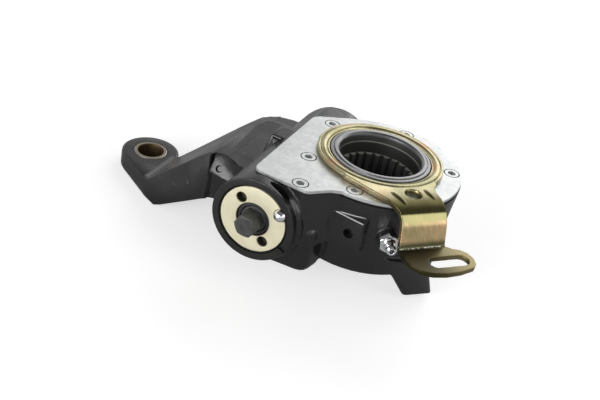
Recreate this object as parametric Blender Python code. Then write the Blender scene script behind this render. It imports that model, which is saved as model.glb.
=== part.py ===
"""Automatic slack adjuster of a drum brake, as separate solids.

Sizes are in millimetres. The origin is on the camshaft's axis, level with the worm's axis.
+Z points to the cover plate's side, the lever arm points to -X, and the worm's hexagon to -Y.
"""

import math

import bmesh
import bpy
from mathutils import Matrix, Vector

MM = 0.001
GAP = 0.3
RUNNING_GAP = 0.35

# Worm drive
MODULE = 2.5
WHEEL_TEETH = 28
WORM_PITCH_R = 11.0
PRESSURE_ANGLE = math.radians(20)
FLANK_CLEARANCE = 0.35
TIP_CLEARANCE = 0.35
LEAD = math.pi * MODULE
WHEEL_PITCH_R = MODULE * WHEEL_TEETH / 2
CENTRE_DISTANCE = WHEEL_PITCH_R + WORM_PITCH_R
WORM_X = -CENTRE_DISTANCE
WORM_TIP_R = WORM_PITCH_R + MODULE
WORM_ROOT_R = WORM_PITCH_R - MODULE - TIP_CLEARANCE
WHEEL_TIP_R = WHEEL_PITCH_R + MODULE - TIP_CLEARANCE
WHEEL_ROOT_R = WHEEL_PITCH_R - MODULE - TIP_CLEARANCE
WHEEL_HALF_FACE = 8.0
WHEEL_THROAT_RISE = 1.2

# Worm wheel's collars and splined bore
COLLAR_STEP = 0.4
COLLAR_R = WHEEL_ROOT_R - COLLAR_STEP
COLLAR_TOP = 31.3
COLLAR_BOTTOM = -28.0
COLLAR_WALL = 5.6
BORE_R = COLLAR_R - COLLAR_WALL
SPLINE_TOP = 17.3
SPLINE_BOTTOM = -20.0
SPLINE_TEETH = 26
SPLINE_MINOR_R = BORE_R - 3.55
SPLINE_MAJOR_R = BORE_R - 1.25
COLLAR_CHAMFER = 0.9

# Housing
HUB_TOP = 24.4
HUB_BOTTOM = -26.4
HUB_CENTRE_Y = -1.0
HUB_DRAFT = 4.0
CAST_EDGE = 2.2
CAVITY_CLEARANCE = 1.25
CAVITY_R = WHEEL_TIP_R + WHEEL_THROAT_RISE + CAVITY_CLEARANCE
SLEEVE_BORE_R = COLLAR_R + 0.45
SLEEVE_WALL = 2.5
SLEEVE_R = SLEEVE_BORE_R + SLEEVE_WALL
DISC_RIM = 5.9
DISC_R = SLEEVE_R + DISC_RIM
DISC_CHAMBER_R = DISC_R + 2 * GAP
HUB_WALL = 11.2
HUB_R = DISC_CHAMBER_R + HUB_WALL
SIDE_CLEARANCE = 0.4
CAVITY_FLOOR = -(WHEEL_HALF_FACE + SIDE_CLEARANCE)
UPPER_RING_HEIGHT = 5.7
RING_STEP = WHEEL_HALF_FACE + UPPER_RING_HEIGHT
LOWER_SEAL_WIDTH = 2.65
LOWER_BORE_R = COLLAR_R + LOWER_SEAL_WIDTH + 2 * GAP
LOWER_RING_BOTTOM = -19.6
TUNNEL_R = 26.2
TUNNEL_REAR = 62.0
TUNNEL_SHOULDER_R = 27.2
TUNNEL_SHOULDER_SHIFT = (1.7, -1.0)
RIM_LENGTH = 7.7
DOME_R = 17.0
WORM_BORE_R = WORM_TIP_R + 0.7
WORM_BORE_END = 37.0
REAR_JOURNAL_END = 43.0
CLUTCH_BORE_R = 17.5

# Lever arm and its eye
ARM_LENGTH = 160.0
EYE_R = 19.8
EYE_TOP = -32.5
EYE_THICKNESS = 12.2
EYE_BOTTOM = EYE_TOP - EYE_THICKNESS
ARM_TOP = 7.0
BUSH_BORE_R = 9.0
BUSH_WALL = 2.45

# Arm's sections from the eye to the hub: x, near edge low and high, far edge low and high,
# underside, top and corner radius
ARM_SECTIONS = [
    (-171.0, -16.4, -16.4, 8.0, 8.0, EYE_BOTTOM + 0.2, EYE_TOP - 0.2, 1.2),
    (-145.5, -32.4, -32.2, 6.0, 5.0, EYE_BOTTOM + 0.2, EYE_TOP - 0.2, 1.2),
    (-141.5, -34.9, -33.8, 4.5, 3.0, EYE_BOTTOM + 0.2, -31.6, 1.6),
    (-137.5, -37.2, -34.2, 4.5, 3.0, EYE_BOTTOM + 0.2, -28.6, 2.4),
    (-130.0, -40.6, -33.8, 8.5, 6.5, EYE_BOTTOM + 0.2, -22.0, 3.0),
    (-125.5, -40.4, -33.6, 11.0, 9.0, -43.2, -18.0, 3.0),
    (-105.0, -38.2, -33.4, 20.5, 18.5, -31.4, 0.6, 3.0),
    (-100.5, -37.6, -33.3, 25.0, 22.0, -28.8, 4.4, 3.0),
    (-96.0, -37.2, -33.4, 36.0, 33.4, -26.4, 6.6, 3.0),
    (-91.5, -37.2, -34.4, 42.5, 40.0, -24.4, ARM_TOP, 3.0),
    (-84.4, -37.8, -36.2, 47.0, 45.0, -24.0, ARM_TOP, 3.0),
    (-77.0, -38.6, -37.8, 49.0, 47.0, -24.0, ARM_TOP, 3.0),
    (-54.0, -39.0, -38.4, 49.0, 47.0, -24.0, ARM_TOP, 3.0),
]

# Small boss beside the plate's left edge
BLOCK_X = (-68.6, -58.0)
BLOCK_Y = (-13.0, 2.6)
BLOCK_TOP = 23.0

# Foot under the hub's right side, and the lobe under the gear chamber
FOOT_BOTTOM = -42.0
FOOT_ROOT_OUTLINE = [(26.0, -45.0), (52.5, -29.0), (52.0, -2.0), (22.0, -24.0)]
FOOT_END_OUTLINE = [(43.6, -27.4), (58.2, -12.6), (49.0, -2.0), (34.0, -15.0)]
LOBE_BOTTOM = -30.0
LOBE_OUTLINE = [(-44.0, -66.0), (-12.0, -64.0), (-8.6, -46.0), (-44.0, -30.0)]

# Grease nipple on the hub's front wall
NIPPLE_BASE = (28.0, -45.5, 4.2)
NIPPLE_ANGLE = math.radians(-58.6)
NIPPLE_SEAT = 1.0
NIPPLE_THREAD_R = 4.0
NIPPLE_THREAD_LENGTH = 6.0
NIPPLE_HEX = 11.0
NIPPLE_HEX_HEIGHT = 4.0
NIPPLE_BODY_R = 3.4
NIPPLE_NECK_R = 2.5
NIPPLE_HEAD_R = 3.3
NIPPLE_HEIGHT = 12.4
NIPPLE_NECK_LOW = NIPPLE_HEIGHT - 4.0
NIPPLE_NECK_HIGH = NIPPLE_HEIGHT - 3.2
NIPPLE_HEAD_LOW = NIPPLE_HEIGHT - 2.4
NIPPLE_HEAD_HIGH = NIPPLE_HEIGHT - 1.2
NIPPLE_TIP_R = 2.4
NIPPLE_BORE_R = 1.3

# Cover plate, gasket and screws
PLATE_TOP = 27.3
PLATE_THICKNESS = 1.8
PLATE_BOTTOM = PLATE_TOP - PLATE_THICKNESS
PLATE_EDGE_R = HUB_R - 2 * GAP
GASKET_THICKNESS = 0.5
GASKET_INSET = 0.6
SCREW_R = 2.5
SCREW_HEAD_R = 4.6
SCREW_HEAD_DEPTH = 2.5
SCREW_LENGTH = 7.3
SCREW_SOCKET_R = 1.9
SCREW_SOCKET_DEPTH = 1.4

# Control arm, a pressed sheet
SHEET = 3.4
ARM_RING_WIDTH = 7.9
ARM_RING_BOTTOM = PLATE_TOP + GAP
ARM_RING_BORE_R = COLLAR_R + 0.65
ARM_RING_R = ARM_RING_BORE_R + ARM_RING_WIDTH
TAB_ANGLE = math.radians(-43)
TAB_HOLE = (45.2, -1.2)
TAB_HOLE_R = 5.1
LUG_SLOT_RADIUS = 81.2
FOLDS_TO_SLOT = 27.7
TAB_BEND_START = LUG_SLOT_RADIUS - FOLDS_TO_SLOT
TAB_BEND_R = 5.0
TAB_LEAN = math.radians(20)
TAB_DROP = 17.0
# The tab's outline along and across its own direction, from the first fold, and the lug's, from the slot
TAB_OUTLINE_LEFT = [(-37.0, -31.9), (-34.0, -35.9), (-3.0, -19.1), (2.5, -16.2), (7.5, -15.3)]
LUG_OUTLINE = [
    (-12.2, -15.9), (-5.2, -16.6), (-0.2, -15.6), (5.8, -11.9), (9.2, -5.6), (10.4, 2.9), (9.8, 12.6), (7.3, 22.6),
    (4.4, 25.4), (0.0, 26.7), (-5.5, 25.8), (-9.4, 22.2), (-11.3, 17.6), (-15.2, 14.6),
]
TAB_OUTLINE_RIGHT = [(4.5, 14.6), (-9.0, 14.6), (-13.5, 16.0), (-17.1, 19.6), (-21.1, 21.0)]
LUG_SLOT_OFFSET = 9.5
LUG_SLOT_HALF_WIDTH = 4.7
LUG_SLOT_HALF_LENGTH = 13.0

# Control disc, rack and clutch gear
DISC_THICKNESS = 2.8
UPPER_SEAL_WIDTH = 2.3
PLATE_HOLE_R = SLEEVE_R + UPPER_SEAL_WIDTH + 2 * GAP
GEAR_MODULE = 1.25
GEAR_TEETH = 24
GEAR_PITCH_R = GEAR_MODULE * GEAR_TEETH / 2
GEAR_WIDTH = 8.0
GEAR_BORE_R = 11.95
GEAR_FLANK_CLEARANCE = 0.15
RACK_WIDTH = 6.0
RACK_TOP = 18.6
DISC_BOTTOM = RACK_TOP + 1.4
RACK_LEFT = -56.2
RACK_TOOTHED_END = -38.0
RACK_RIGHT = 3.0
RACK_BAR_BOTTOM = 14.4
PIN_Y = -38.0
PIN_R = 1.9
PIN_TOP = DISC_BOTTOM + DISC_THICKNESS - 0.4
ARM_TURN_MAX = math.radians(11)
ARM_TURN_MIN = math.radians(-4)

# Parts on the worm's axis, each one set against the one behind it, from the cone to the hexagon
CONE_FRONT = -42.4
CONE_BACK = -34.4
CONE_FRONT_R = 12.2
CONE_BACK_R = 8.9
CLUTCH_BORE_END = CONE_FRONT
GEAR_SETBACK = 9.1
GEAR_FRONT = CONE_FRONT - GEAR_SETBACK
RACK_FRONT = GEAR_FRONT + 1.0
HUB_SLEEVE_LENGTH = 11.8
HUB_SLEEVE = (CONE_FRONT - 2 * GAP - HUB_SLEEVE_LENGTH, CONE_FRONT - 2 * GAP)
HUB_SLEEVE_R = 9.6
RACE_THICKNESS = 2.0
ROLLER_DIAMETER = 2.6
TURNING_RACE = (HUB_SLEEVE[0] - GAP - RACE_THICKNESS, HUB_SLEEVE[0] - GAP)
ROLLER_CAGE = (TURNING_RACE[0] - GAP - ROLLER_DIAMETER, TURNING_RACE[0] - GAP)
FIXED_RACE = (ROLLER_CAGE[0] - GAP - RACE_THICKNESS, ROLLER_CAGE[0] - GAP)
COVER_THICKNESS = 11.76
COVER_LIP = 3.0
COVER_BACK = FIXED_RACE[0] - 2 * GAP
COVER_SEAL_FLOOR = COVER_BACK - COVER_LIP
COVER_FACE = COVER_BACK - COVER_THICKNESS
TUNNEL_FRONT = COVER_FACE - 0.54
RIM_BACK = TUNNEL_FRONT + RIM_LENGTH
COVER_R = 20.94
COVER_HOLE_R = 10.85
COVER_SHAFT_HOLE_R = 8.4
SHAFT_R = 8.0
HEX_LENGTH = 11.6
HEX_FLATS = 12.6
HEX_ROOT = COVER_FACE + 1.26
HEX_TIP = HEX_ROOT - HEX_LENGTH
PIN_HOLE_R = 3.4
PIN_HOLE_CIRCLE_R = 14.7
PIN_HOLE_DEPTH = 6.0
PIN_HOLE_ANGLES = (129.0, -55.0)
LOCK_BALL_R = 4.0
LOCK_BALL_ANGLE = math.radians(31)
LOCK_BALL_CIRCLE_R = COVER_R - 2.04
LOCK_BALL_Y = COVER_FACE + 0.36
O_RING_R = 1.0
WORM_COLLAR_FRONT = -38.0
WORM_COLLAR_BACK = -26.0
WORM_CORE_R = 7.5
THREAD_START = -23.0
THREAD_TURNS = 5.2
THREAD_STEPS = 16
WORM_REAR_COLLAR_R = 11.2
WORM_REAR_COLLAR = 18.6
WORM_REAR_SHOULDER = 21.0
SPRING_WIRE_R = 1.4
SPRING_MEAN_R = 11.6
SEAT_THICKNESS = 1.6

# The plate's tongue over the gears, and where its screws stand
TONGUE_LEFT = -55.0
TONGUE_BACK = 22.3
TONGUE_RIGHT = -19.5
TONGUE = [
    (TONGUE_LEFT, TONGUE_BACK), (TONGUE_LEFT, RIM_BACK + 2.3), (TONGUE_RIGHT, RIM_BACK + GAP),
    (-9.0, HUB_CENTRE_Y - PLATE_EDGE_R - 2.7),
]
TONGUE_RADII = [9.0, 5.0, 6.0, 8.0]
PLATE_ARC_START = -94.0
PLATE_ARC_END = 126.6
SCREW_PLACES = [(-35.6, -29.9), (-41.4, 21.1), (1.6, -46.4), (42.6, 16.6), (2.4, 44.5), (-26.6, RIM_BACK + 6.1)]

# Steps round a full turn
FINE = 48
MEDIUM = 32
COARSE = 20

# Materials: colour, roughness and metallic value
CAST_BLACK = ("cast_black", (0.018, 0.019, 0.021), 0.32, 0.0)
ZINC = ("zinc_plate", (0.62, 0.65, 0.66), 0.38, 0.85)
YELLOW_ZINC = ("yellow_zinc", (0.56, 0.44, 0.20), 0.34, 0.85)
PALE_ZINC = ("pale_yellow_zinc", (0.74, 0.69, 0.52), 0.42, 0.7)
MACHINED = ("machined_steel", (0.42, 0.43, 0.45), 0.36, 0.9)
PHOSPHATE = ("black_phosphate", (0.035, 0.035, 0.037), 0.5, 0.4)
BRIGHT = ("bright_steel", (0.75, 0.76, 0.78), 0.18, 1.0)
SPRING_STEEL = ("spring_steel", (0.30, 0.31, 0.33), 0.4, 0.9)
BRONZE = ("bronze", (0.42, 0.30, 0.19), 0.42, 0.85)
RUBBER = ("rubber", (0.02, 0.02, 0.02), 0.75, 0.0)
GASKET = ("gasket_paper", (0.10, 0.11, 0.10), 0.85, 0.0)


def clear_scene():
    for obj in list(bpy.data.objects):
        bpy.data.objects.remove(obj, do_unlink=True)


def material(spec):
    name, colour, roughness, metallic = spec
    mat = bpy.data.materials.get(name)
    if mat is None:
        mat = bpy.data.materials.new(name)
        mat.use_nodes = True
        shader = mat.node_tree.nodes["Principled BSDF"]
        shader.inputs["Base Color"].default_value = (*colour, 1.0)
        shader.inputs["Roughness"].default_value = roughness
        shader.inputs["Metallic"].default_value = metallic
        mat.diffuse_color = (*colour, 1.0)
    return mat


# Mesh helpers, all in millimetres

def point(x, y, z):
    return Vector((x, y, z)) * MM


def place(x=0.0, y=0.0, z=0.0):
    return Matrix.Translation(point(x, y, z))


def along_worm(y=0.0):
    """Turns a shape made about +Z so that its axis lies on the worm's, pointing to +Y."""
    return place(WORM_X, y, 0) @ Matrix.Rotation(-math.pi / 2, 4, "X")


# Turns a round cutter a little, so that its edges don't line up with those of the form it cuts
OFF_SEAM = Matrix.Rotation(math.radians(3.3), 4, "Z")


def solid(name, bm, spec, where=None, sharp=32):
    """Closes a mesh into a named object with its material."""
    bmesh.ops.remove_doubles(bm, verts=bm.verts, dist=0.002 * MM)
    if where is not None:
        bmesh.ops.transform(bm, matrix=where, verts=bm.verts)
    bmesh.ops.recalc_face_normals(bm, faces=bm.faces)
    if bm.calc_volume(signed=True) < 0:
        bmesh.ops.reverse_faces(bm, faces=bm.faces)
    mesh = bpy.data.meshes.new(name)
    bm.to_mesh(mesh)
    bm.free()
    mesh.shade_smooth()
    mesh.set_sharp_from_angle(angle=math.radians(sharp))
    mesh.materials.append(material(spec))
    obj = bpy.data.objects.new(name, mesh)
    bpy.context.scene.collection.objects.link(obj)
    return obj


def guide(name, bm, where=None):
    """A shape that only joins or cuts another one."""
    obj = solid(name, bm, CAST_BLACK, where)
    obj.hide_render = True
    obj.display_type = "WIRE"
    return obj


def combine(obj, tool, operation):
    mod = obj.modifiers.new(tool.name, "BOOLEAN")
    mod.operation = operation
    mod.solver = "EXACT"
    mod.object = tool
    return obj


def cut(obj, tool):
    return combine(obj, tool, "DIFFERENCE")


def join(obj, tool):
    return combine(obj, tool, "UNION")


def round_edges(obj, width, segments=2, angle=40):
    mod = obj.modifiers.new("rounded_edges", "BEVEL")
    mod.width = width * MM
    mod.segments = segments
    mod.limit_method = "ANGLE"
    mod.angle_limit = math.radians(angle)
    return obj


def loop_edges(bm, points, closed=True):
    verts = [bm.verts.new(point(*p)) for p in points]
    pairs = zip(verts, verts[1:] + verts[:1] if closed else verts[1:])
    edges = [bm.edges.new(pair) for pair in pairs]
    return verts, edges


def turned(profile, steps, closed=True):
    """A profile of (radius, height) points spun about +Z. An open one starts and ends on the axis."""
    bm = bmesh.new()
    verts, edges = loop_edges(bm, [(r, 0, h) for r, h in profile], closed)
    bmesh.ops.spin(
        bm, geom=verts + edges, cent=(0, 0, 0), axis=(0, 0, 1), angle=math.tau, steps=steps
    )
    return bm


def tube(inner, outer, low, high, steps=48, chamfer=0.0):
    """A ring with square or chamfered corners."""
    c = chamfer
    if c:
        profile = [
            (inner + c, low), (outer - c, low), (outer, low + c), (outer, high - c),
            (outer - c, high), (inner + c, high), (inner, high - c), (inner, low + c),
        ]
    else:
        profile = [(inner, low), (outer, low), (outer, high), (inner, high)]
    return turned(profile, steps)


def rod(radius, low, high, steps=48, chamfer=0.0):
    c = chamfer
    if c:
        profile = [(0, low), (radius - c, low), (radius, low + c), (radius, high - c), (radius - c, high), (0, high)]
    else:
        profile = [(0, low), (radius, low), (radius, high), (0, high)]
    return turned(profile, steps, closed=False)


def prism(outline, low, high, holes=()):
    """An outline of (x, y) points, with holes, raised from one height to another."""
    bm = bmesh.new()
    edges = []
    for loop in (outline, *holes):
        edges += loop_edges(bm, [(x, y, low) for x, y in loop])[1]
    filled = bmesh.ops.triangle_fill(bm, edges=edges, use_beauty=True, use_dissolve=not holes)
    faces = [item for item in filled["geom"] if isinstance(item, bmesh.types.BMFace)]
    raised = bmesh.ops.extrude_face_region(bm, geom=faces)
    verts = [item for item in raised["geom"] if isinstance(item, bmesh.types.BMVert)]
    bmesh.ops.translate(bm, vec=point(0, 0, high - low), verts=verts)
    return bm


def loft(rings, ends="capped"):
    """Rings of equal count bridged in order; the last joins the first when ends is 'joined'."""
    bm = bmesh.new()
    rows = [[bm.verts.new(point(*p)) for p in ring] for ring in rings]
    if ends == "joined":
        rows.append(rows[0])
    count = len(rows[0])
    for lower, upper in zip(rows, rows[1:]):
        for i in range(count):
            j = (i + 1) % count
            bm.faces.new((lower[i], lower[j], upper[j], upper[i]))
    if ends == "capped":
        bm.faces.new(rows[0][::-1])
        bm.faces.new(rows[-1])
    return bm


def helix(section, lead, turns, steps_per_turn, start_angle=0.0, hand=1):
    """A closed (radius, height) section swept about +Z along a screw line, with capped ends."""
    bm = bmesh.new()
    verts, edges = loop_edges(bm, [(r, 0, h) for r, h in section])
    bmesh.ops.rotate(
        bm, verts=verts, cent=(0, 0, 0), matrix=Matrix.Rotation(start_angle, 3, "Z")
    )
    steps = round(turns * steps_per_turn)
    bmesh.ops.spin(
        bm,
        geom=verts + edges,
        cent=(0, 0, 0),
        axis=(0, 0, 1),
        dvec=(0, 0, lead * turns / steps * MM),
        angle=hand * math.tau * turns,
        steps=steps,
    )
    open_edges = [edge for edge in bm.edges if len(edge.link_faces) == 1]
    bmesh.ops.holes_fill(bm, edges=open_edges)
    return bm


def circle(cx, cy, radius, count, start=0.0):
    return [
        (cx + radius * math.cos(start + math.tau * i / count), cy + radius * math.sin(start + math.tau * i / count))
        for i in range(count)
    ]


def arc(cx, cy, radius, first, last, count):
    """Points on an arc between two angles in degrees."""
    return [
        (
            cx + radius * math.cos(math.radians(first + (last - first) * i / (count - 1))),
            cy + radius * math.sin(math.radians(first + (last - first) * i / (count - 1))),
        )
        for i in range(count)
    ]


def polar(radius, degrees):
    return radius * math.cos(math.radians(degrees)), radius * math.sin(math.radians(degrees))


def rounded(points, radius, count=4):
    """Replaces each corner of an outline by a small arc of the given radius, or radii."""
    radii = radius if isinstance(radius, (list, tuple)) else [radius] * len(points)
    out = []
    for i, (corner, r) in enumerate(zip(points, radii)):
        here = Vector(corner)
        before = (Vector(points[i - 1]) - here).normalized()
        after = (Vector(points[(i + 1) % len(points)]) - here).normalized()
        angle = before.angle(after)
        if r <= 0 or angle > math.radians(178):
            out.append(tuple(here))
            continue
        reach = r / math.tan(angle / 2)
        centre = here + (before + after).normalized() * r / math.sin(angle / 2)
        first = here + before * reach - centre
        last = here + after * reach - centre
        for k in range(count):
            out.append(tuple(centre + first.slerp(last, k / (count - 1)).normalized() * r))
    return out


def offset(points, distance):
    """Moves an outline that runs anticlockwise outwards by a distance."""
    out = []
    for i, corner in enumerate(points):
        here = Vector(corner)
        before = (here - Vector(points[i - 1])).normalized()
        after = (Vector(points[(i + 1) % len(points)]) - here).normalized()
        normal = Vector((before.y, -before.x)) + Vector((after.y, -after.x))
        normal.normalize()
        shrink = max(0.4, normal.dot(Vector((before.y, -before.x))))
        out.append(tuple(here + normal * distance / shrink))
    return out


def involute(angle):
    return math.tan(angle) - angle


def tooth_half_angle(radius, pitch_r, teeth, clearance):
    """Half the angle that an involute tooth spans at a radius."""
    base_r = pitch_r * math.cos(PRESSURE_ANGLE)
    at_radius = math.acos(min(1.0, base_r / radius)) if radius > base_r else 0.0
    at_pitch = math.pi / (2 * teeth) - clearance / pitch_r
    return at_pitch + involute(PRESSURE_ANGLE) - involute(at_radius)


def gear_outline(radii, pitch_r, teeth, clearance, first_angle):
    """Outline points of a toothed wheel; radii run from the root to the tip."""
    points = []
    for tooth in range(teeth):
        middle = first_angle + math.tau * tooth / teeth
        for radius in radii:
            angle = middle - tooth_half_angle(radius, pitch_r, teeth, clearance)
            points.append((radius * math.cos(angle), radius * math.sin(angle)))
        for radius in reversed(radii):
            angle = middle + tooth_half_angle(radius, pitch_r, teeth, clearance)
            points.append((radius * math.cos(angle), radius * math.sin(angle)))
    return points


# Outlines that more than one piece shares

def plate_outline():
    """The cover plate from above: a round end over the hub and a square tongue over the gears."""
    hub = arc(0.0, HUB_CENTRE_Y, PLATE_EDGE_R, PLATE_ARC_START, PLATE_ARC_END, 26)
    return rounded(TONGUE + hub, TONGUE_RADII + [0] * len(hub), 4)


def housing():
    body = hub_form()
    join(body, shelf_form())
    join(body, arm_form())
    join(body, tunnel_form())
    join(body, tunnel_shoulder_form())
    join(body, eye_form())
    join(body, block_form())
    join(body, foot_form())
    join(body, lower_lobe_form())
    join(body, nipple_boss_form())
    for cutter in housing_cutters():
        cut(body, cutter)
    weld = body.modifiers.new("welded_seams", "WELD")
    weld.merge_threshold = 0.01 * MM
    return body


def hub_form():
    """The round hub, narrower towards its foot as a casting is."""
    low_r = HUB_R - HUB_DRAFT
    e = CAST_EDGE
    profile = [
        (0, HUB_BOTTOM), (low_r - e, HUB_BOTTOM), (low_r - 0.3 * e, HUB_BOTTOM + 0.3 * e),
        (low_r + 0.1, HUB_BOTTOM + e), (HUB_R, HUB_TOP + 1), (0, HUB_TOP + 1),
    ]
    return solid("housing", turned(profile, FINE, closed=False), CAST_BLACK, place(0, HUB_CENTRE_Y, 0))


def shelf_form():
    """The flat seat for the plate's tongue, with drafted walls down to the tunnel."""
    arc_end = polar(PLATE_EDGE_R, PLATE_ARC_END)
    inner = [(10.0, -30.0), (10.0, 20.0), (arc_end[0], HUB_CENTRE_Y + arc_end[1])]
    seat = offset(rounded(TONGUE + inner, TONGUE_RADII + [0, 0, 0], 4), -0.6)
    foot = offset(seat, 1.8)
    rings = [[(x, y, -10.0) for x, y in foot], [(x, y, HUB_TOP + 1) for x, y in seat]]
    return guide("form_shelf", loft(rings))


def tunnel_form():
    """The worm's tunnel: a tube with a rounded front rim and a domed blind end."""
    r = TUNNEL_R
    dome = [
        (r - DOME_R + DOME_R * math.cos(a), TUNNEL_REAR - DOME_R + DOME_R * math.sin(a))
        for a in (math.radians(d) for d in range(0, 91, 18))
    ]
    profile = [(0, TUNNEL_FRONT), (r - 2.0, TUNNEL_FRONT), (r - 0.6, TUNNEL_FRONT + 0.6), (r, TUNNEL_FRONT + 2.0)]
    profile += dome + [(0, TUNNEL_REAR)]
    return guide("form_tunnel", turned(profile, 40, closed=False), along_worm())


def tunnel_shoulder_form():
    """The thicker step behind the rim, where the tunnel runs into the hub's front wall."""
    r = TUNNEL_SHOULDER_R
    front = TUNNEL_FRONT + 5.7
    profile = [(0, front), (r - 1.0, front), (r, front + 1.0), (r, front + 18.0), (0, front + 18.0)]
    right, down = TUNNEL_SHOULDER_SHIFT
    return guide("form_tunnel_shoulder", turned(profile, 36, closed=False), place(right, 0, down) @ along_worm())


def arm_form():
    """The cranked arm, through its cross sections from the eye to the hub."""
    rings = []
    for x, near_low, near_high, far_low, far_high, low, high, radius in ARM_SECTIONS:
        corners = [(near_low, low), (far_low, low), (far_high, high), (near_high, high)]
        rings.append([(x, y, z) for y, z in rounded(corners, radius, 3)])
    return guide("form_arm", loft(rings))


def block_form():
    """The small boss at the plate's left edge."""
    outline = rounded(box_outline(*BLOCK_X, *BLOCK_Y), 1.5, 3)
    rings = [[(x, y, -4.0) for x, y in offset(outline, 0.8)], [(x, y, BLOCK_TOP) for x, y in outline]]
    return guide("form_block", loft(rings))


def eye_form():
    c = 0.8
    profile = [
        (0, EYE_BOTTOM), (EYE_R - c, EYE_BOTTOM), (EYE_R, EYE_BOTTOM + c),
        (EYE_R, EYE_TOP - c), (EYE_R - c, EYE_TOP), (0, EYE_TOP),
    ]
    return guide("form_eye", turned(profile, MEDIUM, closed=False), place(-ARM_LENGTH, 0, 0))


def foot_form():
    """The lug under the hub's front right, tapering down."""
    root = rounded(FOOT_ROOT_OUTLINE, 4.0)
    end = rounded(FOOT_END_OUTLINE, 2.0)
    rings = [[(x, y, -12.0) for x, y in root], [(x, y, FOOT_BOTTOM) for x, y in end]]
    return round_edges(guide("form_foot", loft(rings)), 1.5, 2, 60)


def lower_lobe_form():
    """The thick wall under the gear chamber."""
    outline = rounded(LOBE_OUTLINE, [4, 7, 6, 4])
    top = offset(outline, 1.0)
    rings = [[(x, y, LOBE_BOTTOM) for x, y in outline], [(x, y, 0.0) for x, y in top]]
    return round_edges(guide("form_lower_lobe", loft(rings)), 2.5, 2, 60)


def nipple_boss_form():
    return guide("form_nipple_boss", rod(6.6, -8.0, NIPPLE_SEAT, 24), nipple_place())


def nipple_place():
    """The grease nipple's frame: +Z points out of the hub's wall."""
    return place(*NIPPLE_BASE) @ Matrix.Rotation(NIPPLE_ANGLE, 4, "Z") @ Matrix.Rotation(math.pi / 2, 4, "Y")


def housing_cutters():
    cutters = []

    def add(name, bm, where=None):
        cutters.append(guide(name, bm, where))

    # Round chambers on the camshaft's axis
    add("cut_chambers", turned(
        [(0, EYE_BOTTOM), (LOWER_BORE_R, EYE_BOTTOM), (LOWER_BORE_R, CAVITY_FLOOR), (CAVITY_R, CAVITY_FLOOR),
         (CAVITY_R, RING_STEP), (DISC_CHAMBER_R, RING_STEP), (DISC_CHAMBER_R, 40), (0, 40)], 48, closed=False),
        OFF_SEAM)
    # Stepped bore on the worm's axis
    add("cut_tunnel", turned(
        [(0, TUNNEL_FRONT - 4), (COVER_R + GAP, TUNNEL_FRONT - 4), (COVER_R + GAP, FIXED_RACE[0] - GAP),
         (CLUTCH_BORE_R, FIXED_RACE[0] - GAP), (CLUTCH_BORE_R, CLUTCH_BORE_END), (WORM_BORE_R, CLUTCH_BORE_END),
         (WORM_BORE_R, WORM_BORE_END), (SHAFT_R + GAP, WORM_BORE_END), (SHAFT_R + GAP, REAR_JOURNAL_END),
         (0, REAR_JOURNAL_END)], 40, closed=False), along_worm() @ OFF_SEAM)
    # Faces machined for the plate
    add("cut_plate_seat", prism([(-57, RIM_BACK), (60, RIM_BACK), (60, 60), (-57, 60)], HUB_TOP, 40))
    # Rack's channel and the slot for its finger
    sweep_right = -PIN_Y * ARM_TURN_MAX
    sweep_left = -PIN_Y * ARM_TURN_MIN
    side = 0.5
    add("cut_rack_channel", prism(box_outline(
        RACK_LEFT + sweep_left - side, RACK_RIGHT + sweep_right + side,
        RACK_FRONT - side, RACK_FRONT + RACK_WIDTH + side), 13.4, RACK_TOP + 0.4))
    add("cut_finger_slot", prism(box_outline(
        -3.0 + sweep_left - side, 3.0 + sweep_right + side,
        RACK_FRONT + RACK_WIDTH, PIN_Y + PIN_R + 1.1), RACK_BAR_BOTTOM - 0.4, DISC_BOTTOM))
    # Eye's bore
    add("cut_eye_bore", rod(BUSH_BORE_R + BUSH_WALL + GAP, EYE_BOTTOM - 2, EYE_TOP + 2, MEDIUM),
        place(-ARM_LENGTH, 0, 0) @ OFF_SEAM)
    # Screw holes
    for i, (x, y) in enumerate(SCREW_PLACES):
        add(f"cut_screw_{i}", rod(SCREW_R + GAP, PLATE_TOP - SCREW_LENGTH - GAP, 30, 10), place(x, y, 0))
    # Lock ball's half pocket
    add("cut_ball_pocket", ball_pocket(), along_worm())
    # Recess between the arm's near wall and the tunnel
    add("cut_arm_pocket", prism(rounded([(-96.0, -44.0), (-70.0, -44.0), (-70.0, -25.0), (-96.0, -25.0)], [0, 0, 0, 4]),
                                -8.8, 14.0))
    # Nipple's threaded hole and the channel behind it
    add("cut_nipple_hole", rod(NIPPLE_THREAD_R + GAP, -NIPPLE_THREAD_LENGTH - 2 * GAP, NIPPLE_SEAT + 5, 16),
        nipple_place())
    return cutters


def box_outline(x0, x1, y0, y1):
    return [(x0, y0), (x1, y0), (x1, y1), (x0, y1)]


def ball_pocket():
    bm = rod(LOCK_BALL_R + GAP, TUNNEL_FRONT - 3, LOCK_BALL_Y + LOCK_BALL_R + GAP, 16)
    x = LOCK_BALL_CIRCLE_R * math.cos(LOCK_BALL_ANGLE)
    z = LOCK_BALL_CIRCLE_R * math.sin(LOCK_BALL_ANGLE)
    bmesh.ops.translate(bm, vec=point(x, -z, 0), verts=bm.verts)
    return bm


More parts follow.
